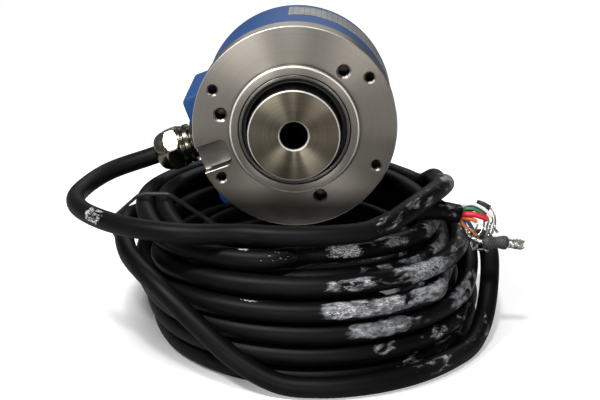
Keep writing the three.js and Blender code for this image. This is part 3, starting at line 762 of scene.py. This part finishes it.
def make_seal():
    front, back = COLLAR_FRONT + 0.1, SEAL_END - 0.3
    case = eased([
        (22.9, front, 0.25), (SEAL_R - 0.3, front, 0.45), (SEAL_R - 0.3, back, 0.2),
        (21.5, back, 0.2), (21.5, 1.3, 0.1), (22.9, 1.3, 0.2),
    ], 0.2, closed=True)
    piece("seal_case", [(0, turned(case, 192, closed=True))], [SEAL_STEEL], 30)
    lip = eased([
        (HUB_R + 0.3, -1.0, 0.2), (20.8, -1.9, 0.4), (21.2, -3.3, 0.3), (21.7, -3.3, 0.3),
        (21.9, -2.2, 0.4), (22.6, -2.6, 0.3), (22.6, 1.0, 0.2), (HUB_R + 0.3, 0.6, 0.3),
    ], 0.2, closed=True)
    piece("seal_lip", [(0, turned(lip, 192, closed=True))], [RUBBER], 40)


# ---- cover, label and what is seen from behind -----------------------------------------
def block_outline(offset):
    """Outline of the gland's block, from inside the cover out to its flat face."""
    half, face = BLOCK["half"] + offset, BLOCK["face"] + offset
    corner = max(BLOCK["corner"] + offset, 0.2)
    rounded = arc((face - corner, half - corner), corner, 90, 0)
    rounded += arc((face - corner, corner - half), corner, 0, -90)
    return [(20, -half), (20, half)] + rounded


def make_cover():
    edge, w = 5, COVER_WALL
    rim = [(COVER_R - 1, COVER_FRONT, 0), (COVER_R, COVER_FRONT, 0.5), (COVER_R, 20, 0)]
    shell = [(0.5, COVER_FRONT)] + eased(rim, 0.5)
    shell += arc((COVER_R - edge, COVER_END - edge), edge, 0, 90, 10) + [(0.5, COVER_END)]
    inside = COVER_R - w
    hollow = [(0.5, COVER_FRONT - 1), (inside, COVER_FRONT - 1), (inside, COVER_END - w - 3),
              (inside - 3, COVER_END - w), (0.5, COVER_END - w)]
    room_levels = [(COVER_FRONT + w, -w), (BLOCK["end"] - w, -w)]
    obj = mesh_object("cover_fine", [(0, turned(shell, 256))])
    block = extruded(block_outline, eased_levels(COVER_FRONT, BLOCK["end"], 0.9))
    carve(obj, [about_axis(block, GLAND_AT)], "UNION")
    carve(obj, [turned(hollow, 192)])
    carve(obj, [about_axis(extruded(block_outline, room_levels), GLAND_AT)])
    holes = [radially(turned([(8.3, 30), (8.3, 50)], 64))]
    ledge = COVER_END - 1.2
    sunk = turned([(1.9, COVER_END - 4), (1.9, ledge), (3.3, ledge), (3.6, COVER_END + 1)], 48)
    holes += [beside(sunk, POST_RING, at) for at in POSTS_AT]
    carve(obj, holes)
    finish_piece(obj, "cover", [ENAMEL], 30)


def make_label():
    low, high = size_of("label_plate")
    inner, thick = COVER_R + 0.06, 0.35
    first, last = math.atan2(low[2], high[0]), math.atan2(high[2], low[0])
    y0, y1 = low[1], high[1]
    outer = inner + thick
    outline = eased([(inner, y0, 0), (outer, y0, 0.2), (outer, y1, 0.2), (inner, y1, 0)], 0.1)
    rings = []
    for a in np.linspace(first, last, 73):
        rings.append(np.array([(r * math.cos(a), y, r * math.sin(a)) for r, y in outline]))
    piece("label_plate", [(0, loft(rings))], [FOIL], 30, "label_fine")


def make_cover_screws():
    head, top = 2.9, COVER_END + 0.9
    under = COVER_END - 0.9
    profile = [(1.5, 56), (1.5, under), *eased([(head, under, 0.1), (head, top, 0.5)], 0.3),
               *arc((head - 0.5, top - 0.5), 0.5, 20, 90, 4), (1.7, top), (1.55, top - 0.15)]
    socket = [(1.5, top + 0.5), (1.5, top - 1.4), (0.2, top - 1.8)]
    for n, at in enumerate(POSTS_AT, 1):
        obj = mesh_object(f"cover_screw_{n}_fine", [(0, beside(turned(profile, 48), POST_RING, at))])
        tool = turned(socket, 48, limit=hexagon(2.6, 10 + 25 * n))
        carve(obj, [beside(tool, POST_RING, at)])
        finish_piece(obj, f"cover_screw_{n}", [SCREW_STEEL], 30)


# ---- cable gland -----------------------------------------------------------------------
def make_gland():
    """Body with its hexagon and round base, and a domed nut screwed onto it."""
    seat = BLOCK["face"] + 0.3
    across = 19                         # the nut's flats; the body's are a little closer
    corner = across / math.sqrt(3)
    bore = 5.4
    base = eased([
        (bore, seat - 8, 0), (8, seat - 8, 0.4), (8, seat, 0), (9.4, seat, 0.3), (9.4, seat + 1.1, 0.3),
        (corner - 0.6, seat + 1.3, 0.4), (corner - 0.3, seat + 2.4, 0.6),
        (corner - 0.3, seat + 4.4, 0.6), (corner - 1.2, seat + 5.6, 0.5), (8.2, seat + 5.9, 0.3),
        (7.4, seat + 6.2, 0.2), (7.4, seat + 13, 0.3), (bore, seat + 13, 0.3),
    ], 0.2)
    base = base[1:] + [(bore, seat - 8)]
    body = turned(base, 144, True, hexagon(across - 1, GLAND_PHASE + 28))
    piece("gland_body", [(0, radially(body))], [NICKEL], 25)
    start = seat + 7.4
    outline = eased([
        (7.7, start + 6.5, 0.2), (7.7, start, 0.2), (9.2, start, 0.5), (9.3, start + 2.6, 0.4),
        (8.6, start + 3.0, 0.3), (8.6, start + 3.6, 0.2), (9.35, start + 3.8, 0.2),
        (9.35, start + 5.2, 0.2), (corner - 1.0, start + 5.4, 0.3), (corner - 0.1, start + 6.3, 0.5),
        (corner - 0.1, start + 10.6, 0.6), (corner - 1.3, start + 12.0, 0.6),
        (9.3, start + 12.4, 0.3), (9.0, GLAND_TIP - 3.4, 0.8), (8.0, GLAND_TIP - 1.2, 0.9),
        (6.5, GLAND_TIP, 0.7), (5.1, GLAND_TIP, 0.4), (5.1, start + 7.2, 0.2),
    ], 0.2, closed=True)
    nut = turned(outline, 144, True, hexagon(across, GLAND_PHASE))
    piece("gland_nut", [(0, radially(nut))], [NICKEL], 25)
    inner, front, back = CABLE_R + 0.25, seat + 10, GLAND_TIP - 1
    insert = eased([(inner, front, 0.2), (5.0, front, 0.2), (5.0, back, 0.3), (inner, back, 0.3)],
                   0.2, closed=True)
    piece("gland_insert", [(0, radially(turned(insert, 64, True)))], [RUBBER], 40)


# ---- the cable's course ----------------------------------------------------------------
# The coil is a pile of turns. Every turn lies in a place, which is a row above the floor and
# a column outwards from the middle, and moves to the next place at a bearing seen from above.
COIL = {"x": 3, "y": 1, "rearward": 5, "floor": -86, "row_pitch": 8.6, "column_pitch": 8.8,
        "inner": 57}
STEPS_PER_TURN = 32
COIL_START = 250                        # turn angles of the coil's two ends, in degrees
COIL_END = 6000
PLACES = [                              # (turn, bearing, row, column)
    (0, 250, 6, 1.6), (1, 24, 5, 2), (1, 272, 5, 1), (2, 240, 4, 1), (3, 208, 4, 2),
    (4, 170, 4, 3.1), (4, 225, 0, 3.1), (5, 165, 0, 2), (6, 140, 0, 1), (7, 116, 0, 0),
    (8, 92, 1, 0), (9, 68, 1, 1), (10, 44, 1, 2), (11, 20, 2, 2), (12, -4, 3, 2),
    (13, -28, 3, 1), (14, -52, 2, 1), (15, -76, 2, 0), (16, -100, 3.5, -1),
]
MOVE = 36                               # degrees that a turn takes to change place
FALL = 2.5                              # a turn that falls to the floor takes this many times longer
ROW_SHIFT = (0, 0.5, 0.3, 0, -4, -8, -8)
LEAN = {"most": 12, "row": 5}
REAR_PUSH = {"most": 16, "above": 3.5, "at": 110, "reach": 105}
FRONT_LIFT = {"most": 0.6, "at": 275, "reach": 80}
TIE_LIFT = {"most": 1.8, "at": 180, "reach": 40}
HUMPS = [                               # stretches that rise off the pile by some rows
    {"from": 250, "to": 440, "most": 1.15, "at": 336, "reach": 48},
    {"from": 1640, "to": 1980, "most": 3, "at": 5, "reach": 38},
]
# The cable's middle line from the gland down to the coil, and from the coil to the stripped end.
LEAD = [(-88, 33, -30), (-98, 14, -33.5), (-95, -12, -32), (-82, -36, -29.8), (-64, -54, -28),
        (-42, -64, -27)]
TAIL = [(-8, -47, -46), (8, -45, -42), (24, -40, -38), (38, -32, -33.5), (50, -26, -30.2),
        (61, -21, -30.4), (71, -18, -33)]


def smooth(t):
    t = min(max(t, 0.0), 1.0)
    return t * t * t * (t * (6 * t - 15) + 10)


def bump_of(shape, angle):
    """The shape's most at its own bearing, falling smoothly to 0 at its reach on both sides."""
    away = abs(((angle - shape["at"] + 540) % 360) - 180) / shape["reach"]
    return shape["most"] * (1 - smooth(away)) if away < 1 else 0.0


def row_shift(row):
    low = int(min(math.floor(row), len(ROW_SHIFT) - 2))
    return ROW_SHIFT[low] + (ROW_SHIFT[low + 1] - ROW_SHIFT[low]) * (row - low)


def place_at(turn_angle):
    row = PLACES[0][2]
    radius = COIL["inner"] + COIL["column_pitch"] * PLACES[0][3] + row_shift(row)
    for turn, bearing, next_row, column in PLACES[1:]:
        width = FALL * MOVE if next_row == 0 and row > 1 else MOVE
        t = (turn_angle - (360 * turn + bearing)) / width + 0.5
        if t <= 0:
            break
        next_radius = COIL["inner"] + COIL["column_pitch"] * column + row_shift(next_row)
        early, late = smooth(min(1.5 * t, 1)), smooth(max(1.5 * t - 0.5, 0))
        side_first = (next_radius > radius) == (column >= 2)
        radius += (next_radius - radius) * (early if side_first else late)
        row += (next_row - row) * (late if side_first else early)
    return row, radius


def coil_point(turn_angle):
    row, radius = place_at(turn_angle)
    angle = rad(turn_angle)
    r = radius + bump_of(REAR_PUSH, turn_angle) * min(max(row - REAR_PUSH["above"], 0), 1)
    pitch = COIL["row_pitch"] + bump_of(FRONT_LIFT, turn_angle)
    loose = sum(bump_of(hump, turn_angle) for hump in HUMPS if hump["from"] < turn_angle < hump["to"])
    lean = LEAN["most"] * max(1 - row / LEAN["row"], 0) * (1 - math.cos(angle)) / 2
    return (
        COIL["x"] + lean + r * math.cos(angle),
        COIL["y"] + (r + COIL["rearward"]) * math.sin(angle),
        COIL["floor"] + CABLE_R + (row + loose) * pitch + bump_of(TIE_LIFT, turn_angle),
    )


def cable_course():
    """The jacket's middle line, and the turn angle reached at each of its points."""
    middle = np.array([0, GLAND_Y, 0])
    points = [middle + outwards(GLAND_AT) * r for r in (34.5, 60, GLAND_TIP + 3)]
    points += LEAD
    marks = [COIL_START - 40 * (len(points) - i) for i in range(len(points))]
    step = 360 / STEPS_PER_TURN
    for i in range(int((COIL_END - COIL_START) / step) + 1):
        marks.append(COIL_START + step * i)
        points.append(coil_point(marks[-1]))
    marks += [marks[-1] + 10 * (i + 1) for i in range(len(TAIL))]
    points += TAIL
    return curve_through(points, 2.2, marks)


# Rubbed places on the jacket, and two thin painted highlights along strand tops: (turn, first bearing,
# last bearing, facing, reach, scuff_and_highlight, wear, speck).
# Facing is the side of the strand in degrees: 0 looks outwards from the coil and 90 looks up.
RUBBED = [
    (1, 279, 297, 32, 75, 0.64, 0.5, 0.3),
    (1, 252, 282, 40, 50, 0.0, 0.0, 0.36),
    (1, 304, 318, 35, 45, 0.52, 0.62, 0.2),
    (1, 290, 306, 30, 70, 0.0, 0.35, 0.2),
    (3, 274, 297, 20, 55, 0.50, 0.55, 0.3),
    (3, 270, 293, -22, 22, 0.34, 0.40, 0.2),
    (12, 272, 309, 28, 75, 0.52, 0.68, 0.3),
    (12, 274, 288, 5, 40, 0.60, 0.66, 0.3),
    (12, 299, 352, 32, 85, 0.36, 0.66, 0.3),
    (11, 281, 307, 28, 80, 0.46, 0.66, 0.3),
    (11, 318, 351, 35, 85, 0.30, 0.58, 0.2),
    (2, 306, 326, 20, 80, 0.30, 0.60, 0.35),
    (3, 303, 328, 25, 90, 0.38, 0.66, 0.45),
    (2, 326, 360, 30, 90, 0.30, 0.60, 0.3),
    (1, 322, 375, 40, 90, 0.36, 0.64, 0.3),
    (0, 330, 380, 40, 90, 0.36, 0.62, 0.3),
    (3, 330, 380, 40, 90, 0.32, 0.60, 0.3),
    (10, 311, 320, 30, 60, 0.54, 0.5, 0.2),
    (10, 288, 300, 30, 60, 0.40, 0.50, 0.2),
    (10, 320, 345, 30, 60, 0.24, 0.50, 0.2),
    (5, 296, 306, 30, 50, 0.42, 0.40, 0.0),
    *[(turn, 286, 352, 30, 80, 0.16, 0.47, 0.28) for turn in range(17)],
    # Two thin painted highlights along the tops of turns 12 and 1.
    (12, 249, 258, 76, 15, 0.62, 0.0, 0.0),
    (1, 247, 255, 84, 14, 0.62, 0.0, 0.0),
    (0, 276, 292, 60, 25, 0.0, 0.0, 0.30),
]


def rubbed_values(turns, facing):
    """Scuff and painted highlight, wear and speck at each ring and side of the jacket."""
    values = np.zeros((3, len(turns), len(facing[0])))
    for turn, first, last, centre, reach, *amounts in RUBBED:
        middle, half = 360 * turn + (first + last) / 2, (last - first) / 2
        along = np.clip(1.6 * (1 - np.abs(turns - middle) / (half * 1.45)), 0, 1)[:, None]
        off = np.abs((facing - centre + 180) % 360 - 180)
        share = along * np.clip(1.6 * (1 - off / (reach * 1.35)), 0, 1)
        for i, amount in enumerate(amounts):
            values[i] = np.maximum(values[i], amount * share)
    return values


def make_cable():
    path, turns = cable_course()
    sides = 24
    around = spokes(path, sides)
    angles = np.linspace(0, TAU, sides, endpoint=False)
    middle = np.array([COIL["x"], COIL["y"], 0])
    out = path - middle
    out[:, 2] = 0
    out /= np.linalg.norm(out, axis=1)[:, None]
    facing = np.degrees(np.arctan2(around[:, :, 2], np.einsum("ijk,ik->ij", around, out)))
    travelled = np.concatenate([[0], np.cumsum(np.linalg.norm(np.diff(path, axis=0), axis=1))])
    radius = CABLE_R * (1 + 0.008 * np.sin(travelled / 23) + 0.006 * np.sin(travelled / 7.1))
    rings = path[:, None] + around * radius[:, None, None]
    obj = mesh_object("cable_jacket_fine", [(0, loft(list(rings)))])
    course = np.stack([np.broadcast_to(travelled[:, None], facing.shape) * 0.45,
                       CABLE_R * np.cos(angles)[None] + 0 * facing,
                       CABLE_R * np.sin(angles)[None] + 0 * facing], 2)
    field = obj.data.attributes.new("course", "FLOAT_VECTOR", "POINT")
    field.data.foreach_set("vector", course.reshape(-1).astype(np.float32))
    rubbed = rubbed_values(turns, facing)
    lead = lead_patch(path, around)
    rubbed[0] = np.maximum(rubbed[0], lead)
    for name, values in zip(("scuff_and_highlight", "wear", "speck"), rubbed):
        field = obj.data.attributes.new(name, "FLOAT", "POINT")
        field.data.foreach_set("value", values.reshape(-1).astype(np.float32))
    finish_piece(obj, "cable_jacket", [JACKET], 50)


def lead_patch(path, around):
    """Scratched place on the lead's loop, on the side that looks forwards and up."""
    centre = np.array(LEAD[3]) * 0.9 + np.array(LEAD[4]) * 0.1
    near = np.clip(1.8 * (1 - np.linalg.norm(path - centre, axis=1) / 12), 0, 1)[:, None]
    view = np.array([-0.25, -0.8, 0.55])
    return 0.56 * near * np.clip(1.6 * (around @ view), 0, 1)


# ---- the stripped end ------------------------------------------------------------------
# Each conductor: its colour, radius and course from the jacket's end, as steps to the right,
# towards the back and up in millimetres; BARE goes on from there with its stripped tip's strands.
INSULATION = {
    "white": ((0.80, 0.79, 0.75), 0.75, [
        (0, 0.4, 2.3), (1.5, -0.2, 3.9), (4.5, -1.2, 4.9), (8, -2.2, 4.0), (11, -3, 2.0), (13, -3.4, 0)]),
    "green": ((0.02, 0.17, 0.07), 0.85, [
        (0, -0.8, 1.6), (2, -1.8, 2.9), (5, -2.6, 3.1), (8, -2.8, 1.8), (9.5, -2.8, 0.2)]),
    "violet": ((0.07, 0.06, 0.34), 0.8, [
        (0, 1.2, 1.4), (2.5, 0.2, 3.0), (6, -1, 3.0), (9, -1.6, 1.8), (10.5, -1.8, 0.6)]),
    "red": ((0.66, 0.012, 0.03), 1.25, [
        (0, -2.2, 0.3), (2, -3.4, 1.0), (5, -4.2, 1.1), (8.5, -4.4, 0.3), (11, -4.4, -0.9)]),
    "orange": ((0.70, 0.13, 0.015), 0.85, [
        (0, -2.3, -0.8), (2, -3.5, -0.9), (4.5, -4.2, -1.1), (6.5, -4.6, -2.0)]),
    "brown": ((0.50, 0.16, 0.03), 0.8, [
        (0, -1.4, -2.2), (1.2, -2.6, -4.4), (2.8, -3.4, -5.4), (5, -4.4, -6.4), (6.6, -4.8, -8.2)]),
    "blue": ((0.03, 0.08, 0.34), 0.85, [
        (0, 0.5, -2.2), (3, -0.8, -3.2), (5.4, -1.8, -7), (6.4, -2.4, -11), (7.2, -2.8, -13.6)]),
    "black": ((0.015, 0.015, 0.017), 1.0, [
        (0, 2.0, -0.4), (4, 1.6, 1.4), (8, 0.6, 2.4), (11, -0.6, 3.0), (12, -1.2, 3.6)]),
}
BARE = {
    "white": [(13.4, -3.6, -2), (12.2, -4, -4.4), (13.4, -4.2, -6), (13.0, -4.4, -8)],
    "green": [(9.8, -3.4, -3), (9, -4.4, -6), (7, -5, -9), (6.6, -5.2, -12.5), (5, -5.4, -14.5)],
    "violet": [(11.8, -2.4, -2), (11, -3.4, -5), (12, -4.4, -8), (10.4, -5, -8.8)],
    "red": [(12, -4.6, -2.4), (12.2, -4.8, -5), (10.6, -5, -8), (11.4, -5.2, -11), (12.4, -5, -13.5)],
    "orange": [(6.8, -4.8, -3.4), (5.6, -5, -6.5), (5.2, -5.2, -10), (4.4, -5.4, -12)],
    "brown": [(6.2, -5.2, -9.6), (4.6, -5.6, -10.2), (4.8, -5.6, -13), (5.6, -5.4, -14.6)],
    "blue": [(7.6, -3.2, -15.2), (10, -3.8, -14.6), (12, -4, -15.6)],
    "black": [(13.6, -2, 1.8), (14.6, -3, -1.5), (14.2, -3.6, -5), (16, -4, -7.4)],
}
STRAND_R = 0.19
FLAG = {"from": (6.6, 1.2, 4.6), "to": (12.2, 0.0, 2.4), "wide": 3.8, "thick": 0.7}


def strands(path, count, spread, turns, thickness, rng):
    """Fine bare strands twisted along a path and fanning out towards its end."""
    side, up = frames_along(path)
    t = np.linspace(0, 1, len(path))
    parts = []
    for i in range(count):
        start = TAU * i / count
        reach = (spread[0] + (spread[1] - spread[0]) * t**2) * rng.uniform(0.6, 1.1)
        angle = start + TAU * turns * t + rng.uniform(-0.3, 0.3)
        shift = np.cos(angle)[:, None] * side + np.sin(angle)[:, None] * up
        end = len(path) - rng.randrange(0, max(len(path) // 8, 1) + 1)
        parts.append(tube((path + shift * reach[:, None])[:end], thickness, 6))
    return parts


def make_conductors():
    rng = random.Random(11)
    root = np.array(TAIL[-1], float) + np.array([1.0, 0, 0])
    for n, (name, (color, radius, points)) in enumerate(INSULATION.items(), 1):
        inside = [(-2.5, points[0][1] * 0.8, points[0][2] * 0.8)]
        path, _ = curve_through([root + np.array(p) for p in inside + points], 0.4)
        fine, _ = curve_through([root + np.array(p) for p in [points[-1]] + BARE[name]], 0.4)
        parts = [(0, tube(path, radius, 14))]
        parts += [(1, part) for part in strands(fine, 5, (0.25, 0.6), 1.5, STRAND_R, rng)]
        if name == "black":
            parts.append((0, flag_tag(root)))
        piece(f"conductor_{n}", parts, [insulation(name, color), TINNED], 50)


def flag_tag(root):
    """Folded piece of tape left on the black conductor."""
    start, end = (root + np.array(FLAG[key], float) for key in ("from", "to"))
    along = (end - start) / np.linalg.norm(end - start)
    across = np.cross(along, (0, -1, 0))
    rings = []
    for t in np.linspace(0, 1, 7):
        curl = np.array([0, -0.5 * math.sin(3 * t), 0.4 * math.sin(4 * t)])
        middle = start + (end - start) * t + curl
        half, thick = FLAG["wide"] / 2 * (0.8 + 0.2 * t), FLAG["thick"] / 2
        corners = rounded_box(half, thick, 0.25)
        rings.append(np.array([middle + across * a + np.array([0, b, 0]) for a, b in corners]))
    return loft(rings)


# The shield's drawn-out braid, and its sleeve, whose ends are shares of the braid's length.
SHIELD = [(73, -19.5, -37.5), (75, -24.5, -41), (80, -28.5, -42), (89, -29, -42), (98, -29, -43)]
SLEEVE = {"from": 0.42, "to": 0.78, "outer": 2.7, "inner": 1.9, "swell": 0.25, "end_drop": 0.35}
BRAID = [                               # strands, (spread at the start, at the end), turns, radius
    (16, (0.9, 2.3), 5, 0.26), (12, (0.5, 1.9), -4, 0.26), (8, (0.2, 1.2), 3, 0.30),
]


def make_shield():
    """Drawn-out braid: a frayed plait that leaves a black woven sleeve."""
    rng = random.Random(5)
    path, _ = curve_through(SHIELD, 0.5)
    travelled = np.linspace(0, 1, len(path))
    plait = []
    for count, spread, turns, radius in BRAID:
        plait += strands(path, count, spread, turns, radius, rng)
    piece("shield_braid", [(0, part) for part in plait], [TINNED], 50)
    inside = path[(travelled > SLEEVE["from"]) & (travelled < SLEEVE["to"])]
    around = spokes(inside, 32)
    swell = SLEEVE["outer"] + SLEEVE["swell"] * np.sin(np.linspace(0, 9, len(inside)))
    swell[[0, -1]] -= SLEEVE["end_drop"]
    skin = list(inside[:, None] + around * swell[:, None, None])
    lining = list(inside[:, None] + around * SLEEVE["inner"])[::-1]
    piece("shield_sleeve", [(0, loft(skin + lining, True))], [WEAVE], 40)


TIE = {"turns": (5, 7, 16, 2, 1, 4), "slack": 1.2, "thick": 1.2, "width": 3, "head": 5,
       "head_thick": 3}


def outline_round(centres, distance):
    """Outline at a distance round centres that are the corners of a convex shape."""
    edges = [after - centre for centre, after in zip(centres, centres[1:] + centres[:1])]
    outward = [math.atan2(-edge[0], edge[1]) for edge in edges]
    points = []
    for i in range(len(centres)):
        turn = (outward[i] - outward[i - 1]) % TAU
        for t in np.linspace(0, 1, 9):
            a = outward[i - 1] + turn * t
            points.append(centres[i] + distance * np.array([math.cos(a), math.sin(a)]))
    return np.array(points)


def rounded_box(half_width, half_height, ease):
    corners = [(-1, -1), (1, -1), (1, 1), (-1, 1)]
    return eased([(x * half_width, z * half_height) for x, z in corners], ease, closed=True)


def make_tie():
    """Nylon strap round the left side of the pile, with its head hidden inside the coil."""
    across = [coil_point(360 * turn + 180) for turn in TIE["turns"]]
    centres = [np.array([x, z]) for x, _, z in across]
    inside = CABLE_R + TIE["slack"]
    inner, outer = (outline_round(centres, d) for d in (inside, inside + TIE["thick"]))
    half, y = TIE["width"] / 2, COIL["y"]
    section = eased([(0, -half), (0, half), (1, half), (1, -half)], 0.25, closed=True)
    rings = [at_depth(*(outer + (inner - outer) * u).T, y + v) for u, v in section]
    middle = (centres[1] + centres[2]) / 2
    reach = middle[0] + inside + TIE["thick"] / 2
    head = []
    for x, offset in eased_levels(reach, reach + TIE["head_thick"], 0.5):
        side = TIE["head"] / 2 + offset
        head.append(np.array([(x, y + a, middle[1] + b) for a, b in rounded_box(side, side, 0.6)]))
    piece("coil_tie", [(0, loft(rings, True)), (0, loft(head))], [NYLON], 40)


# ---- CAD nodes that stay in view only when the encoder is opened ------------------------
CARRIED = {
    BEARING: [f"{end}_bearing_{part}" for end in ("front", "rear")
              for part in ("outer_ring", "inner_ring", "balls")],
    DARK_STEEL: ["inner_spacer", "outer_spacer", "shaft_circlip"],
    SCREW_STEEL: ["bearing_lock_ring"],
    BRASS: ["disc_hub", "disc_clamp"] + [f"{kind}_{n + 1}" for n in range(len(POSTS_AT))
                                         for kind in ("standoff", "cover_post")],
    GLASS: ["code_disc", "reticle"],
    RUBBER: ["cover_seal"],
    PLASTIC: ["led_block", "sensor_chip"],
    BOARD: ["circuit_board"],
    CREAM: ["board_connector"],
    NICKEL: ["gland_lock_nut"],
}


def dress_carried_nodes():
    for material, names in CARRIED.items():
        for name in names:
            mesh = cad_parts[name].data
            mesh.materials.clear()
            mesh.materials.append(material)
            mesh.shade_smooth()
            mesh.set_sharp_from_angle(angle=rad(30))


# ---- floor, lights and camera ----------------------------------------------------------
FLOOR = {"half": 3000, "drop": 0.05, "dark_to": 0.058, "lit_from": 0.098, "glow": 0.42}


def make_floor():
    """Pale floor, lit up for the camera beyond the coil and in shade inside it."""
    half, z = FLOOR["half"], COIL["floor"] - FLOOR["drop"]
    corners = np.array([(-half, -half, z), (half, -half, z), (half, half, z), (-half, half, z)], float)
    floor = mesh_object("floor", [(0, (corners, [(0, 1, 2, 3)]))])
    pale, shade = (0.86, 0.86, 0.86), (0.42, 0.42, 0.42)
    paint = Paint("pale_floor", pale, 0.7)
    seen = paint.node("ShaderNodeLightPath").outputs["Is Camera Ray"]
    x, y, _ = paint.split(paint.position())
    reach, _ = paint.from_axis(x, paint.math("ADD", y, (BORE_END - COIL["y"]) * MM), 1)
    lit = paint.times(seen, paint.step(reach, FLOOR["dark_to"], FLOOR["lit_from"]))
    paint.put("Base Color", paint.mix(lit, shade, pale))
    paint.put("Emission Color", (1.0, 1.0, 1.0))
    paint.put("Emission Strength", paint.times(lit, FLOOR["glow"]))
    floor.data.materials.append(paint.material)


LIGHTS = {                              # direction, distance, (width, height) and watts
    "key_left": ((-0.50, -0.34, 0.80), 1100, (110, 110), 9.0),
    "key_top": ((-0.05, -0.5, 0.86), 1200, (110, 110), 6.5),
    "front_left": ((-0.29, -0.95, 0.12), 900, (200, 120), 1.45),
    "front_right": ((0.26, -0.96, 0.12), 900, (200, 120), 1.1),
    "rear_fill": ((0.1, 0.75, 0.65), 1500, (1200, 700), 6.0),
}
LIGHTS_AIM = (0, 0, -20)
CAMERA = {"aim": (2.36, 0, -33.0), "distance": 578.4, "azimuth": -1.32, "elevation": 17.78,
          "lens": 78, "sensor": 36}


def place_looking(name, data, aim, way, distance):
    """Light or camera at a distance from its aim, in the direction of way, looking back at it."""
    obj = bpy.data.objects.new(name, data)
    bpy.context.scene.collection.objects.link(obj)
    obj.location = (Vector(aim) - Vector(TO_ORIGIN) + way * distance) * MM
    obj.rotation_euler = way.to_track_quat("Z", "Y").to_euler()
    return obj


def make_lights():
    for name, (direction, distance, size, watts) in LIGHTS.items():
        data = bpy.data.lights.new(name, "AREA")
        data.shape = "RECTANGLE"
        data.size, data.size_y = size[0] * MM, size[1] * MM
        data.energy = watts
        place_looking(name, data, LIGHTS_AIM, Vector(direction).normalized(), distance)


def make_world():
    """Nearly white backdrop that gives only a little light."""
    world = bpy.data.worlds.new("studio")
    world.use_nodes = True
    tree = world.node_tree
    background = tree.nodes["Background"]
    background.inputs[0].default_value = (1.0, 0.99, 0.97, 1)
    seen = tree.nodes.new("ShaderNodeLightPath").outputs["Is Camera Ray"]
    strength = tree.nodes.new("ShaderNodeMapRange")
    strength.inputs["To Min"].default_value = 0.15
    strength.inputs["To Max"].default_value = 1.0
    tree.links.new(seen, strength.inputs["Value"])
    tree.links.new(strength.outputs["Result"], background.inputs["Strength"])
    bpy.context.scene.world = world


def make_camera():
    """Above the mounting face's axis and a little to the right, looking slightly down."""
    data = bpy.data.cameras.new("camera")
    data.lens, data.sensor_width = CAMERA["lens"], CAMERA["sensor"]
    data.clip_start, data.clip_end = 0.02, 20
    a, e = rad(-CAMERA["azimuth"]), rad(CAMERA["elevation"])
    back = Vector((math.sin(a) * math.cos(e), -math.cos(a) * math.cos(e), math.sin(e)))
    bpy.context.scene.camera = place_looking("camera", data, CAMERA["aim"], back, CAMERA["distance"])


make_flange()
make_shaft()
make_seal()
make_cover()
make_label()
make_cover_screws()
make_gland()
make_cable()
make_conductors()
make_shield()
make_tie()
dress_carried_nodes()
make_floor()
make_lights()
make_world()
make_camera()
bpy.context.scene.view_settings.view_transform = "Standard"
